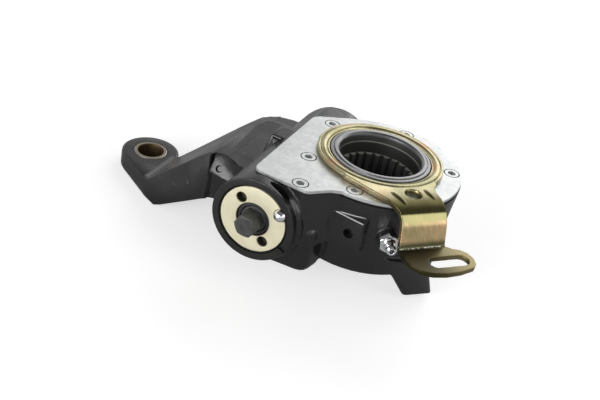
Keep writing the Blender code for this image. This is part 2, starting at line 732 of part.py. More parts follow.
def grease_nipple():
    flats = NIPPLE_HEX / 2 / math.cos(math.radians(30))
    low = NIPPLE_SEAT + GAP
    thread = NIPPLE_THREAD_R
    body = turned(
        [(0, -NIPPLE_THREAD_LENGTH), (thread, -NIPPLE_THREAD_LENGTH), (thread, low + 1), (NIPPLE_BODY_R, low + 1),
         (NIPPLE_BODY_R, NIPPLE_NECK_LOW - 1), (NIPPLE_NECK_R, NIPPLE_NECK_LOW), (NIPPLE_NECK_R, NIPPLE_NECK_HIGH),
         (NIPPLE_HEAD_R, NIPPLE_HEAD_LOW), (NIPPLE_HEAD_R, NIPPLE_HEAD_HIGH), (NIPPLE_TIP_R, NIPPLE_HEIGHT),
         (0, NIPPLE_HEIGHT)],
        18, closed=False)
    nipple = solid("grease_nipple", body, BRIGHT, nipple_place())
    hexagon = prism(circle(0, 0, flats, 6), low, low + NIPPLE_HEX_HEIGHT)
    join(nipple, guide("form_nipple_hexagon", hexagon, nipple_place()))
    bore = rod(NIPPLE_BORE_R, -NIPPLE_THREAD_LENGTH - 1, NIPPLE_HEIGHT + 2, 10)
    cut(nipple, guide("cut_nipple_bore", bore, nipple_place()))
    return nipple


def nipple_ball():
    bm = bmesh.new()
    bmesh.ops.create_icosphere(bm, subdivisions=2, radius=(NIPPLE_BORE_R - GAP) * MM)
    return solid("nipple_ball", bm, BRIGHT, nipple_place() @ place(0, 0, NIPPLE_HEIGHT - 0.7))


def worm_wheel():
    """Collars and toothed band as one loft of rings, then the splined bore."""
    half = WHEEL_HALF_FACE
    twist = LEAD / (math.tau * WORM_PITCH_R) / WHEEL_PITCH_R
    first = math.pi + math.pi / WHEEL_TEETH
    rings = []
    for share in (-1.0, 0.0, 1.0):
        z = share * half
        tip = WHEEL_TIP_R + WHEEL_THROAT_RISE * share * share
        radii = (WHEEL_ROOT_R, WHEEL_PITCH_R, tip)
        outline = gear_outline(radii, WHEEL_PITCH_R, WHEEL_TEETH, FLANK_CLEARANCE, first + twist * z)
        rings.append([(x, y, z) for x, y in outline])
    wheel = solid("worm_wheel", loft(rings), MACHINED)
    c = COLLAR_CHAMFER
    collar = turned(
        [(0, COLLAR_BOTTOM), (COLLAR_R - c, COLLAR_BOTTOM), (COLLAR_R, COLLAR_BOTTOM + c), (COLLAR_R, COLLAR_TOP - c),
         (COLLAR_R - c, COLLAR_TOP), (0, COLLAR_TOP)], FINE, closed=False)
    join(wheel, guide("form_collars", collar))
    bore = turned(
        [(0, COLLAR_BOTTOM - 1), (BORE_R + 1.8, COLLAR_BOTTOM - 1), (BORE_R, COLLAR_BOTTOM + 0.8),
         (BORE_R, SPLINE_BOTTOM), (SPLINE_MINOR_R, SPLINE_BOTTOM), (SPLINE_MINOR_R, SPLINE_TOP), (BORE_R, SPLINE_TOP),
         (BORE_R, COLLAR_TOP - 0.8), (BORE_R + 1.8, COLLAR_TOP + 1), (0, COLLAR_TOP + 1)], FINE, closed=False)
    cut(wheel, guide("cut_wheel_bore", bore))
    outline = []
    for tooth in range(SPLINE_TEETH):
        middle = math.tau * tooth / SPLINE_TEETH
        pitch = math.tau / SPLINE_TEETH
        inner = SPLINE_MINOR_R - 0.2
        for share, radius in ((0.0, inner), (0.14, SPLINE_MAJOR_R), (0.42, SPLINE_MAJOR_R), (0.56, inner)):
            angle = middle + share * pitch
            outline.append((radius * math.cos(angle), radius * math.sin(angle)))
    cut(wheel, guide("cut_splines", prism(outline, SPLINE_BOTTOM - 1, SPLINE_TOP + 1)))
    return wheel


def worm_screw():
    """Hexagon, shaft, cone socket, thread and rear journal in one piece."""
    c = 0.8
    tip_r = WORM_TIP_R
    end = REAR_JOURNAL_END - 1.0
    rear_r = WORM_REAR_COLLAR_R
    profile = [
        (0, HEX_ROOT), (SHAFT_R - c, HEX_ROOT), (SHAFT_R, HEX_ROOT + c), (SHAFT_R, CONE_BACK),
        (CONE_BACK_R, CONE_BACK + GAP), (CONE_FRONT_R - 1.0, WORM_COLLAR_FRONT), (tip_r, WORM_COLLAR_FRONT),
        (tip_r, WORM_COLLAR_BACK - c), (tip_r - c, WORM_COLLAR_BACK), (WORM_CORE_R, WORM_COLLAR_BACK),
        (WORM_CORE_R, WORM_REAR_COLLAR), (rear_r, WORM_REAR_COLLAR), (rear_r, WORM_REAR_SHOULDER),
        (SHAFT_R, WORM_REAR_SHOULDER), (SHAFT_R, end - c), (SHAFT_R - c, end), (0, end),
    ]
    worm = solid("worm_screw", turned(profile, 32, closed=False), PHOSPHATE, along_worm())
    join(worm, guide("form_thread", thread_skin(), along_worm(THREAD_START)))
    flats = HEX_FLATS / 2 / math.cos(math.radians(30))
    rings = []
    for share, y in ((0.86, HEX_TIP), (1.0, HEX_TIP + 0.9), (1.0, HEX_ROOT + 1.0)):
        rings.append([(x, z, y) for x, z in circle(0, 0, flats * share, 6, math.radians(2))])
    return join(worm, guide("form_hexagon", loft(rings), along_worm()))


def thread_skin():
    """The thread with its core as one skin, so placed that it passes y = 0 on the wheel's side."""
    slope = math.tan(PRESSURE_ANGLE)
    half_root = LEAD / 4 - FLANK_CLEARANCE + (WORM_PITCH_R - WORM_ROOT_R) * slope
    half_tip = LEAD / 4 - FLANK_CLEARANCE - MODULE * slope
    section = [
        (WORM_ROOT_R, half_root - LEAD), (WORM_ROOT_R, -half_root), (WORM_TIP_R, -half_tip),
        (WORM_TIP_R, half_tip), (WORM_ROOT_R, half_root),
    ]
    bm = bmesh.new()
    rows = []
    for k in range(round(THREAD_TURNS * THREAD_STEPS) + 1):
        angle = math.tau * (k / THREAD_STEPS + THREAD_START / LEAD)
        rise = LEAD * k / THREAD_STEPS
        ring = [point(r * math.cos(angle), r * math.sin(angle), h + rise) for r, h in section]
        rows.append([bm.verts.new(place_at) for place_at in ring])
    for lower, upper in zip(rows, rows[1:]):
        for i in range(len(section) - 1):
            bm.faces.new((lower[i], lower[i + 1], upper[i + 1], upper[i]))
    # Each section's last point is the first one of the section a turn later
    bmesh.ops.remove_doubles(bm, verts=bm.verts, dist=0.002 * MM)
    ends = [bm.verts.new((0, 0, 0)), bm.verts.new(point(0, 0, rise))]
    for edge in [edge for edge in bm.edges if len(edge.link_faces) == 1]:
        middle = (edge.verts[0].co.z + edge.verts[1].co.z) / 2
        centre = ends[0] if middle < rise * MM / 2 else ends[1]
        bm.faces.new((*edge.verts, centre))
    return bm


def threaded_cover():
    c = 0.5
    groove = COVER_R - 2 * O_RING_R - 0.35
    mid = (COVER_BACK + COVER_SEAL_FLOOR) / 2 - 0.2
    half = O_RING_R + 0.25
    profile = [
        (COVER_HOLE_R, COVER_FACE), (COVER_R - c, COVER_FACE), (COVER_R, COVER_FACE + c), (COVER_R, mid - half),
        (groove, mid - half), (groove, mid + half), (COVER_R, mid + half), (COVER_R, COVER_BACK),
        (COVER_SHAFT_HOLE_R, COVER_BACK), (COVER_SHAFT_HOLE_R, COVER_SEAL_FLOOR), (COVER_HOLE_R, COVER_SEAL_FLOOR),
    ]
    cover = solid("threaded_cover", turned(profile, 36), PALE_ZINC, along_worm())
    for i, degrees in enumerate(PIN_HOLE_ANGLES):
        x, z = polar(PIN_HOLE_CIRCLE_R, degrees)
        hole = rod(PIN_HOLE_R, COVER_FACE - 1, COVER_FACE + PIN_HOLE_DEPTH, 16)
        bmesh.ops.translate(hole, vec=point(x, -z, 0), verts=hole.verts)
        cut(cover, guide(f"cut_pin_hole_{i}", hole, along_worm()))
    cut(cover, guide("cut_cover_ball_pocket", ball_pocket(), along_worm()))
    ring = turned([(groove + 0.1 + O_RING_R + O_RING_R * math.cos(a), mid + O_RING_R * math.sin(a))
                   for a in (math.tau * k / 6 for k in range(6))], 32)
    solid("cover_o_ring", ring, RUBBER, along_worm())
    return cover


def lock_ball():
    bm = bmesh.new()
    bmesh.ops.create_icosphere(bm, subdivisions=3, radius=LOCK_BALL_R * MM)
    x = LOCK_BALL_CIRCLE_R * math.cos(LOCK_BALL_ANGLE)
    z = LOCK_BALL_CIRCLE_R * math.sin(LOCK_BALL_ANGLE)
    return solid("lock_ball", bm, BRIGHT, place(WORM_X + x, LOCK_BALL_Y, z))


def shaft_seal():
    low = COVER_FACE + 1.6
    high = COVER_SEAL_FLOOR - GAP
    outer = COVER_HOLE_R - GAP
    inner = SHAFT_R + GAP
    profile = [(inner, low + 2.4), (inner + 0.5, low), (outer - 0.8, low), (outer, low + 0.8), (outer, high),
               (inner + 0.6, high), (inner + 0.6, low + 3.2)]
    return solid("shaft_seal", turned(profile, 28), RUBBER, along_worm())


def thrust_bearing():
    solid("fixed_race", tube(SHAFT_R + 0.7, CLUTCH_BORE_R - GAP, *FIXED_RACE, 28), MACHINED, along_worm())
    solid("turning_race", tube(SHAFT_R + GAP, CLUTCH_BORE_R - 1.2, *TURNING_RACE, 28), MACHINED, along_worm())
    low, high = ROLLER_CAGE
    middle = (low + high) / 2
    cage = solid("roller_cage", tube(SHAFT_R + 0.8, CLUTCH_BORE_R - 1.0, middle - 0.5, middle + 0.5, COARSE), BRONZE,
                 along_worm())
    roller_r = (high - low) / 2
    count = 8
    for i in range(count):
        roller = rod(roller_r, SHAFT_R + 2.0, CLUTCH_BORE_R - 2.2, 6)
        turn = Matrix.Rotation(math.tau * i / count, 4, "Z") @ Matrix.Rotation(math.pi / 2, 4, "Y")
        bmesh.ops.transform(roller, matrix=turn, verts=roller.verts)
        join(cage, guide(f"form_roller_{i}", roller, along_worm(middle)))


def clutch():
    """Hub with its cone, the flat-wire spring round it, and the gear round the spring."""
    front, back = HUB_SLEEVE
    bore = SHAFT_R + GAP
    profile = [
        (bore, front), (HUB_SLEEVE_R, front), (HUB_SLEEVE_R, back), (CONE_FRONT_R, CONE_FRONT),
        (CONE_FRONT_R, WORM_COLLAR_FRONT - 1.2), (CONE_FRONT_R - 1.4, WORM_COLLAR_FRONT - 0.3), (bore, CONE_BACK - 0.9),
    ]
    solid("clutch_hub", turned(profile, 28), MACHINED, along_worm())

    wire = 1.5
    pitch = 1.8
    turns = 5.5
    section = [(HUB_SLEEVE_R + GAP, 0), (GEAR_BORE_R - GAP, 0), (GEAR_BORE_R - GAP, wire), (HUB_SLEEVE_R + GAP, wire)]
    solid("one_way_spring", helix(section, pitch, turns, 16), SPRING_STEEL, along_worm(front + 0.2))

    root = GEAR_PITCH_R - 1.25 * GEAR_MODULE
    radii = (root, GEAR_PITCH_R, GEAR_PITCH_R + 0.9 * GEAR_MODULE)
    outline = gear_outline(radii, GEAR_PITCH_R, GEAR_TEETH, GEAR_FLANK_CLEARANCE, math.pi / 2)
    gear = prism(outline, 0, GEAR_WIDTH, [circle(0, 0, GEAR_BORE_R, 28)])
    solid("clutch_gear", gear, MACHINED, along_worm(GEAR_FRONT))


def rack():
    """A bar with five teeth over the gear and a finger with a pin for the disc's notch."""
    pitch = math.pi * GEAR_MODULE
    root = GEAR_PITCH_R + 1.2 * GEAR_MODULE
    tip = GEAR_PITCH_R - 0.85 * GEAR_MODULE
    slope = math.tan(PRESSURE_ANGLE)
    outline = [(RACK_LEFT, RACK_TOP)]
    outline.append((RACK_LEFT, root))
    first = math.ceil((RACK_LEFT - WORM_X) / pitch - 0.5)
    last = math.floor((RACK_TOOTHED_END - WORM_X) / pitch - 0.5)
    for k in range(first, last + 1):
        middle = WORM_X + (k + 0.5) * pitch
        at_root = pitch / 4 - GEAR_FLANK_CLEARANCE + (root - GEAR_PITCH_R) * slope
        at_tip = pitch / 4 - GEAR_FLANK_CLEARANCE - (GEAR_PITCH_R - tip) * slope
        if middle - at_root <= RACK_LEFT:
            continue
        outline += [(middle - at_root, root), (middle - at_tip, tip), (middle + at_tip, tip), (middle + at_root, root)]
    outline += [(RACK_TOOTHED_END + 1.5, root), (RACK_TOOTHED_END + 3.5, RACK_BAR_BOTTOM),
                (RACK_RIGHT, RACK_BAR_BOTTOM), (RACK_RIGHT, RACK_TOP)]
    bar = prism(outline, 0, RACK_WIDTH)
    stand = Matrix(((1, 0, 0, 0), (0, 0, 1, RACK_FRONT * MM), (0, 1, 0, 0), (0, 0, 0, 1)))
    piece = solid("rack", bar, MACHINED, stand)
    finger = prism(rounded([(-RACK_RIGHT, RACK_FRONT + 1), (RACK_RIGHT, RACK_FRONT + 1), (RACK_RIGHT, PIN_Y + 1.6),
                            (-RACK_RIGHT, PIN_Y + 1.6)], [0, 0, 1.2, 1.2]), RACK_BAR_BOTTOM + 0.2, RACK_TOP)
    join(piece, guide("form_finger", finger))
    pin = rod(PIN_R, RACK_TOP - 1, PIN_TOP, 16, 0.4)
    join(piece, guide("form_finger_pin", pin, place(0, PIN_Y, 0)))
    return piece


def control_disc():
    top = DISC_BOTTOM + DISC_THICKNESS
    profile = [(SLEEVE_BORE_R, DISC_BOTTOM), (DISC_R, DISC_BOTTOM), (DISC_R, top), (SLEEVE_R, top),
               (SLEEVE_R, PLATE_TOP), (SLEEVE_BORE_R, PLATE_TOP)]
    disc = solid("control_disc", turned(profile, 44), MACHINED)
    half = PIN_R + RUNNING_GAP
    notch = prism(arc(0, PIN_Y + 0.8, half, 180, 0, 7) + [(half, -DISC_R - 2), (-half, -DISC_R - 2)],
                  DISC_BOTTOM - 1, top + 1)
    cut(disc, guide("cut_disc_notch", notch))
    return disc


def upper_seal():
    return solid("upper_seal", tube(SLEEVE_R + GAP, PLATE_HOLE_R - GAP, PLATE_BOTTOM, PLATE_TOP, MEDIUM), RUBBER)


def wheel_bearings():
    inner = COLLAR_R + GAP
    upper = turned(
        [(inner, -CAVITY_FLOOR), (inner + 2.3, -CAVITY_FLOOR), (inner + 2.3, RING_STEP + GAP),
         (DISC_CHAMBER_R - GAP, RING_STEP + GAP), (DISC_CHAMBER_R - GAP, DISC_BOTTOM - SIDE_CLEARANCE),
         (inner, DISC_BOTTOM - SIDE_CLEARANCE)], 36)
    ring = solid("upper_bearing_ring", upper, MACHINED)
    window = prism(box_outline(-6.8, 11.4, PIN_Y - 7, PIN_Y + 3), RING_STEP, DISC_BOTTOM + 1)
    cut(ring, guide("cut_ring_window", window))
    outer = LOWER_BORE_R - GAP
    solid("lower_bearing_ring", tube(inner, outer, LOWER_RING_BOTTOM, CAVITY_FLOOR - GAP, MEDIUM), BRONZE)
    seal_top = LOWER_RING_BOTTOM - SIDE_CLEARANCE
    solid("lower_seal", turned(
        [(inner, HUB_BOTTOM + 0.6), (outer, HUB_BOTTOM + 0.4), (outer, seal_top), (inner + 0.5, seal_top),
         (inner + 0.5, HUB_BOTTOM + 2.6)], MEDIUM), RUBBER)


def thrust_spring():
    low = WORM_REAR_SHOULDER + GAP
    seat_r = WORM_BORE_R - GAP
    solid("front_spring_seat", tube(SHAFT_R + GAP, seat_r, low, low + SEAT_THICKNESS, COARSE), MACHINED, along_worm())
    high = WORM_BORE_END - GAP
    solid("rear_spring_seat", tube(SHAFT_R + GAP, seat_r, high - SEAT_THICKNESS, high, COARSE), MACHINED, along_worm())
    start = low + SEAT_THICKNESS + GAP + SPRING_WIRE_R
    end = high - SEAT_THICKNESS - GAP - SPRING_WIRE_R
    turns = 3.0
    section = [(SPRING_MEAN_R + SPRING_WIRE_R * math.cos(a), SPRING_WIRE_R * math.sin(a))
               for a in (math.tau * k / 6 for k in range(6))]
    solid("thrust_spring", helix(section, (end - start) / turns, turns, 12), SPRING_STEEL, along_worm(start))


def arm_bush():
    outer = BUSH_BORE_R + BUSH_WALL
    bush = tube(BUSH_BORE_R, outer, EYE_BOTTOM - 0.2, EYE_TOP + 0.2, 32, 0.5)
    return solid("arm_bush", bush, BRONZE, place(-ARM_LENGTH, 0, 0))


def cover_plate():
    holes = [circle(x, y, SCREW_HEAD_R + GAP, 14) for x, y in SCREW_PLACES]
    holes.append(circle(0, 0, PLATE_HOLE_R, 48))
    plate = prism(plate_outline(), PLATE_BOTTOM, PLATE_TOP, holes)
    return solid("cover_plate", plate, ZINC)


def gasket():
    holes = [circle(x, y, SCREW_R + 2 * GAP, 8) for x, y in SCREW_PLACES]
    holes.append(circle(0, 0, DISC_CHAMBER_R, MEDIUM))
    low = HUB_TOP + GAP
    sheet = prism(offset(plate_outline(), -GASKET_INSET), low, low + GASKET_THICKNESS, holes)
    return solid("gasket", sheet, GASKET)


def cover_screws():
    """Countersunk socket screws, flush with the plate."""
    top = PLATE_TOP
    socket_floor = top - SCREW_SOCKET_DEPTH
    profile = [
        (0, socket_floor), (SCREW_SOCKET_R, socket_floor), (SCREW_SOCKET_R, top), (SCREW_HEAD_R, top),
        (SCREW_R, top - SCREW_HEAD_DEPTH), (SCREW_R, top - SCREW_LENGTH), (0, top - SCREW_LENGTH),
    ]
    for i, (x, y) in enumerate(SCREW_PLACES):
        solid(f"cover_screw_{i + 1}", turned(profile, 12, closed=False), ZINC, place(x, y, 0))


def fold(bm, start, radius, angle):
    """Bends a flat blank down, or up for a negative angle, past a line at x = start."""
    down = 1 if angle > 0 else -1
    turn = abs(angle)
    for vert in bm.verts:
        x = vert.co.x / MM - start
        if x <= 1e-6:
            continue
        height = vert.co.z / MM
        arm = radius + height if down > 0 else radius - height
        swept = min(x / radius, turn)
        rest = max(0.0, x - radius * turn)
        along = arm * math.sin(swept) + rest * math.cos(turn)
        drop = arm * (1 - math.cos(swept)) + rest * math.sin(turn)
        vert.co.x = (start + along) * MM
        vert.co.z = (height - down * drop) * MM


def control_arm():
    """A ring with a rolled edge, joined to a tab that folds down and out into a slotted lug."""
    low = ARM_RING_BOTTOM
    r = ARM_RING_R
    bore = ARM_RING_BORE_R
    profile = [
        (bore, low + 0.2), (r - 1.0, low), (r, low + 0.7), (r, low + 2.2), (r - 0.8, low + 3.0), (r - 2.2, low + 3.0),
        (r - 2.8, low + 2.5), (r - 3.6, low + 3.0), (r - 5.2, low + 3.0), (bore + 1.6, low + 2.2), (bore, low + 2.0),
    ]
    arm = solid("control_arm", turned(profile, FINE), YELLOW_ZINC)

    fold_angle = math.pi / 2 - TAB_LEAN
    bend = TAB_BEND_R * fold_angle
    second_start = TAB_BEND_START + bend + TAB_DROP
    shift = flat_length_shift(TAB_BEND_START, TAB_BEND_R, fold_angle, second_start)
    lug = [(LUG_SLOT_RADIUS + along + shift, across) for along, across in LUG_OUTLINE]
    left = [(TAB_BEND_START + along, across) for along, across in TAB_OUTLINE_LEFT]
    right = [(TAB_BEND_START + along, across) for along, across in TAB_OUTLINE_RIGHT]
    slot = slot_outline(LUG_SLOT_RADIUS + shift, LUG_SLOT_OFFSET, LUG_SLOT_HALF_WIDTH, LUG_SLOT_HALF_LENGTH)
    blank = prism(left + lug + right, 0, SHEET, [slot])
    stations = [start + bend * k / 4 for start in (TAB_BEND_START, second_start) for k in range(5)]
    for station in stations:
        geometry = blank.verts[:] + blank.edges[:] + blank.faces[:]
        bmesh.ops.bisect_plane(blank, geom=geometry, plane_co=point(station, 0, 0), plane_no=(1, 0, 0), dist=1e-7)
    fold(blank, second_start, TAB_BEND_R, -fold_angle)
    fold(blank, TAB_BEND_START, TAB_BEND_R, fold_angle)
    tab = guide("form_tab", blank, Matrix.Rotation(TAB_ANGLE, 4, "Z") @ place(0, 0, low - 0.15))
    cut(tab, guide("cut_tab_bore", rod(ARM_RING_R - 3.2, low - 5, low + 8, FINE)))
    join(arm, tab)
    hole = rod(TAB_HOLE_R, low - 5, low + 8, 20)
    return cut(arm, guide("cut_tab_hole", hole, Matrix.Rotation(TAB_ANGLE, 4, "Z") @ place(*TAB_HOLE)))


def slot_outline(cx, cy, half_width, half_length):
    reach = half_length - half_width
    return arc(cx, cy + reach, half_width, 0, 180, 8) + arc(cx, cy - reach, half_width, 180, 360, 8)


def flat_length_shift(start, radius, angle, second_start):
    """How much longer the flat blank is than the folded part, measured along the tab."""
    bend = radius * angle
    slant = second_start - (start + bend)
    folded = 2 * radius * math.sin(angle) + slant * math.cos(angle)
    return 2 * bend + slant - folded


def build():
    clear_scene()
    housing()
    worm_wheel()
    worm_screw()
    threaded_cover()
    lock_ball()
    shaft_seal()
    thrust_bearing()
    clutch()
    rack()
    control_disc()
    control_arm()
    upper_seal()
    wheel_bearings()
    thrust_spring()
    arm_bush()
    cover_plate()
    gasket()
    cover_screws()
    grease_nipple()
    nipple_ball()


build()
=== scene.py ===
"""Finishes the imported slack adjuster: casting, plated sheet, turned steel and seals, on a pale floor."""

import math

import bmesh
import bpy
from mathutils import Matrix, Vector


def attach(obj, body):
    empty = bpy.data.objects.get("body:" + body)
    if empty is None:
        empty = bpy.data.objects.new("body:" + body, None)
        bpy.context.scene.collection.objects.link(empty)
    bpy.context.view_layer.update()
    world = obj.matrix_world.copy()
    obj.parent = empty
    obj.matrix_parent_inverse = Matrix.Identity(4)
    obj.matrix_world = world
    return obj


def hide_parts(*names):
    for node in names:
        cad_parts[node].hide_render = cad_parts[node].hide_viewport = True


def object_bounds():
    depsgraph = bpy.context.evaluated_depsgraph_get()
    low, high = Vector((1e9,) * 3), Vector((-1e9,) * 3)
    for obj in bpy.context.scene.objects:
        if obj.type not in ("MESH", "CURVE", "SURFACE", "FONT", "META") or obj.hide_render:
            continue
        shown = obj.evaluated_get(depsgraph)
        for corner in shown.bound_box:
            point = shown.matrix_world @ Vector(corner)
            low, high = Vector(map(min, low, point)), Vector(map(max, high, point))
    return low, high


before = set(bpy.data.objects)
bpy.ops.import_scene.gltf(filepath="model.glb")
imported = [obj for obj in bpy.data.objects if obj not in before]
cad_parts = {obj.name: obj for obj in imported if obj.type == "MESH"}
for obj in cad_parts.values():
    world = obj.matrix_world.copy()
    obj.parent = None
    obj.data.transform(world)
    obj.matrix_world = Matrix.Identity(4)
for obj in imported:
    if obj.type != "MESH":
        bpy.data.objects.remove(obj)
cad_box = [list(corner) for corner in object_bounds()]


# Housing: one iron casting with the camshaft's hub, the worm's tunnel and the cranked lever with its eye.
# It comes rough from a sand mould. Its seat and bores are machined, and it is dipped in gloss black paint.

MM = 0.001
HUB_CENTRE_Y = -1.0
HUB_R = 52.4
SEAT_Z = 24.4
WORM_X = -46.0
TUNNEL_FRONT = -75.2
EYE_X = -160.0
EYE_Z = (-44.7, -32.5)
NIPPLE_PLACE = (28.0, -45.5, 4.2)
NIPPLE_TURN = -58.6
BALL_CIRCLE_R = 18.9
BALL_ANGLE = 31
BALL_POCKET_R = 4.25
BALL_POCKET_FLOOR = -70.1
HUB_OPENING_R = 41.2
SCREW_HOLE_R = 2.8
SAND_VOXEL = 0.85
TONGUE = [(-55.0, 22.3), (-55.0, -65.2), (-19.5, -67.2), (-9.0, -55.5)]
TONGUE_RADII = [9.0, 5.0, 6.0, 8.0]
SCREW_SPOTS = [(-35.6, -29.9), (-41.4, 21.1), (1.6, -46.4), (42.6, 16.6), (2.4, 44.5), (-26.6, -61.4)]


class Shade:
    """One output socket of a node tree, so that its maths reads as plain sums."""

    def __init__(self, nodes, socket):
        self.nodes = nodes
        self.socket = socket

    def maths(self, operation, first, second):
        return self.nodes.node("ShaderNodeMath", {"operation": operation}, {0: first, 1: second})

    def __add__(self, other):
        return self.maths("ADD", self, other)

    def __radd__(self, other):
        return self.maths("ADD", other, self)

    def __sub__(self, other):
        return self.maths("SUBTRACT", self, other)

    def __rsub__(self, other):
        return self.maths("SUBTRACT", other, self)

    def __mul__(self, other):
        return self.maths("MULTIPLY", self, other)

    def __rmul__(self, other):
        return self.maths("MULTIPLY", other, self)


class Nodes:
    """A node tree that is filled by one method."""

    def __init__(self, tree):
        self.tree = tree

    def node(self, kind, settings=None, sockets=None, output=0):
        """Adds one node: its settings first, then the values or links of its sockets."""
        added = self.tree.nodes.new(kind)
        for name, value in (settings or {}).items():
            if name == "stops":
                for spare in range(len(value) - 2):
                    added.color_ramp.elements.new(0.5)
                for stop, (place, colour) in zip(added.color_ramp.elements, value):
                    stop.position = place
                    stop.color = (*colour, 1.0)
            else:
                setattr(added, name, value)
        for key, value in (sockets or {}).items():
            self.join(added.inputs[key], value)
        return Shade(self, added.outputs[output])

    def join(self, socket, value):
        """Links one output, or a list of them, to a socket, or sets its plain value."""
        for item in value if isinstance(value, list) else [value]:
            if isinstance(item, Shade):
                self.tree.links.new(item.socket, socket)
            else:
                socket.default_value = item


class Finish(Nodes):
    """A surface finish: a Principled shader and the nodes that feed it."""

    def __init__(self, name, colour, roughness, metallic, **fixed):
        self.material = bpy.data.materials.new(name)
        self.material.use_nodes = True
        super().__init__(self.material.node_tree)
        self.shader = self.tree.nodes["Principled BSDF"]
        self.feed(Base_Color=(*colour, 1.0), Roughness=roughness, Metallic=metallic, **fixed)

    def feed(self, **values):
        """Joins values to the shader's sockets, whose names have _ for a space."""
        for name, value in values.items():
            self.join(self.shader.inputs[name.replace("_", " ")], value)

    def spot(self, scale=(1, 1, 1), turn=(0, 0, 0), shift=(0, 0, 0)):
        """Object coordinates, moved, turned and stretched."""
        place = self.node("ShaderNodeTexCoord", output="Object")
        return self.node("ShaderNodeMapping", None, {
            "Vector": place, "Scale": scale, "Rotation": turn, "Location": shift,
        })

    def vectors(self, operation, first, second, output="Vector"):
        return self.node("ShaderNodeVectorMath", {"operation": operation}, {0: first, 1: second}, output)

    def reach(self, vector):
        """The length of a vector."""
        return self.node("ShaderNodeVectorMath", {"operation": "LENGTH"}, {0: vector}, "Value")

    def from_axis(self, place, keep=(1, 1, 0)):
        """The distance from an axis of the object, whose own coordinate isn't kept."""
        return self.reach(self.vectors("MULTIPLY", place, keep))

    def along(self, axis, place):
        """One coordinate of a place."""
        return self.node("ShaderNodeSeparateXYZ", None, {0: place}, axis)

    def grain(self, place, per_metre, detail=3.0, roughness=0.55):
        """Soft noise with features one over per_metre apart."""
        return self.node("ShaderNodeTexNoise", None, {
            "Vector": place, "Scale": per_metre, "Detail": detail, "Roughness": roughness,
        })

    def between(self, value, low, high):
        """0 below low, 1 above high, and a smooth step from one to the other."""
        return self.node("ShaderNodeMapRange", {"interpolation_type": "SMOOTHSTEP"}, {
            "Value": value, "From Min": low, "From Max": high,
        })

    def blend(self, share, first, second):
        """A colour between two others."""
        def as_colour(value):
            return value if isinstance(value, Shade) else (*value, 1.0)
        return self.node("ShaderNodeMix", {"data_type": "RGBA"}, {
            0: share, 6: as_colour(first), 7: as_colour(second),
        }, output=2)

    def raised(self, height, depth_mm, strength):
        """A bump normal from a height of 0 to 1 that stands for depth_mm."""
        return self.node("ShaderNodeBump", None, {
            "Height": height, "Distance": depth_mm * MM, "Strength": strength,
        }, output="Normal")


def black_paint():
    """Thick glossy paint over cast iron: the sand's grain shows through, more on the rough walls."""
    paint = Finish("black_paint_on_cast_iron", (0.009, 0.009, 0.009), 0.3, 0.0, IOR=1.5)
    place = paint.spot()
    sand = paint.grain(place, 700, 4.0, 0.6)
    swell = paint.grain(place, 90, 2.0)
    patch = paint.grain(place, 22, 2.0)
    dust = paint.grain(place, 2600, 2.0)
    rough_skin = paint.between(patch, 0.42, 0.62)
    pits = paint.between(paint.grain(paint.spot(shift=(0.02, 0.05, 0.01)), 240, 2.0), 0.66, 0.74)
    coat = paint.blend(dust * patch * 1.6, (0.0065, 0.0068, 0.0067), (0.015, 0.015, 0.0145))
    # Painted highlights: two thin light grey lines along the pad's edges stand for glints on its rounded
    # edges.
    painted_glint_lines = [((-4.6, -53.05, 13.5), (14.0, -53.9, 12.5)), ((-4.2, -53.0, 13.8), (14.4, -51.2, 15.3))]
    for first, last in painted_glint_lines:
        run = Vector(last) - Vector(first)
        from_start = paint.vectors("SUBTRACT", paint.spot(), Vector(first) * MM)
        gap = paint.reach(paint.vectors("CROSS_PRODUCT", from_start, run.normalized()))
        ahead = paint.vectors("DOT_PRODUCT", from_start, run.normalized(), "Value")
        painted_glint = (1 - paint.between(gap, 0.0002, 0.0006)) * paint.between(ahead, 0.0, 0.001)
        painted_glint = painted_glint * (1 - paint.between(ahead, (run.length - 1) * MM, run.length * MM))
        coat = paint.blend(painted_glint * (0.5 + 0.5 * dust), coat, (0.55, 0.56, 0.56))
    paint.feed(
        Base_Color=coat,
        Roughness=0.17 + 0.13 * rough_skin + 0.1 * dust,
        Normal=paint.raised(sand * (0.35 + 0.6 * rough_skin) + 0.7 * swell - 0.8 * pits, 0.3, 0.6),
    )
    return paint.material


def at(x, y, z):
    """A move by millimetres."""
    return Matrix.Translation(Vector((x, y, z)) * MM)


def spun(degrees, axis):
    """A turn about an axis of the object."""
    return Matrix.Rotation(math.radians(degrees), 4, axis)


def on_worm(y=0.0):
    """Turns a shape made about +Z so that its axis is the worm's, pointing to +Y."""
    return at(WORM_X, y, 0) @ spun(-90, "X")


def beside_worm(radius, degrees):
    """The worm's frame, moved out by a radius at an angle from +X towards +Z."""
    turn = math.radians(degrees)
    return on_worm() @ at(radius * math.cos(turn), -radius * math.sin(turn), 0)


def on_nipple(z=0.0):
    """The grease nipple's frame: +Z points out of the hub's wall."""
    return at(*NIPPLE_PLACE) @ spun(NIPPLE_TURN, "Z") @ spun(90, "Y") @ at(0, 0, z)


def eased(points, radius, count=5):
    """Replaces each corner of an outline by a small arc of the given radius, or radii."""
    radii = radius if isinstance(radius, (list, tuple)) else [radius] * len(points)
    out = []
    for i, (corner, r) in enumerate(zip(points, radii)):
        here = Vector(corner)
        before = Vector(points[i - 1]) - here
        after = Vector(points[(i + 1) % len(points)]) - here
        angle = before.angle(after)
        if r <= 0 or angle > math.radians(177) or corner[0] == 0:
            out.append(tuple(here))
            continue
        r = min(r, 0.45 * min(before.length, after.length) * math.tan(angle / 2))
        before.normalize()
        after.normalize()
        centre = here + (before + after).normalized() * r / math.sin(angle / 2)
        first = (here + before * r / math.tan(angle / 2) - centre).normalized()
        last = (here + after * r / math.tan(angle / 2) - centre).normalized()
        for k in range(count):
            out.append(tuple(centre + first.slerp(last, k / (count - 1)).normalized() * r))
    return out


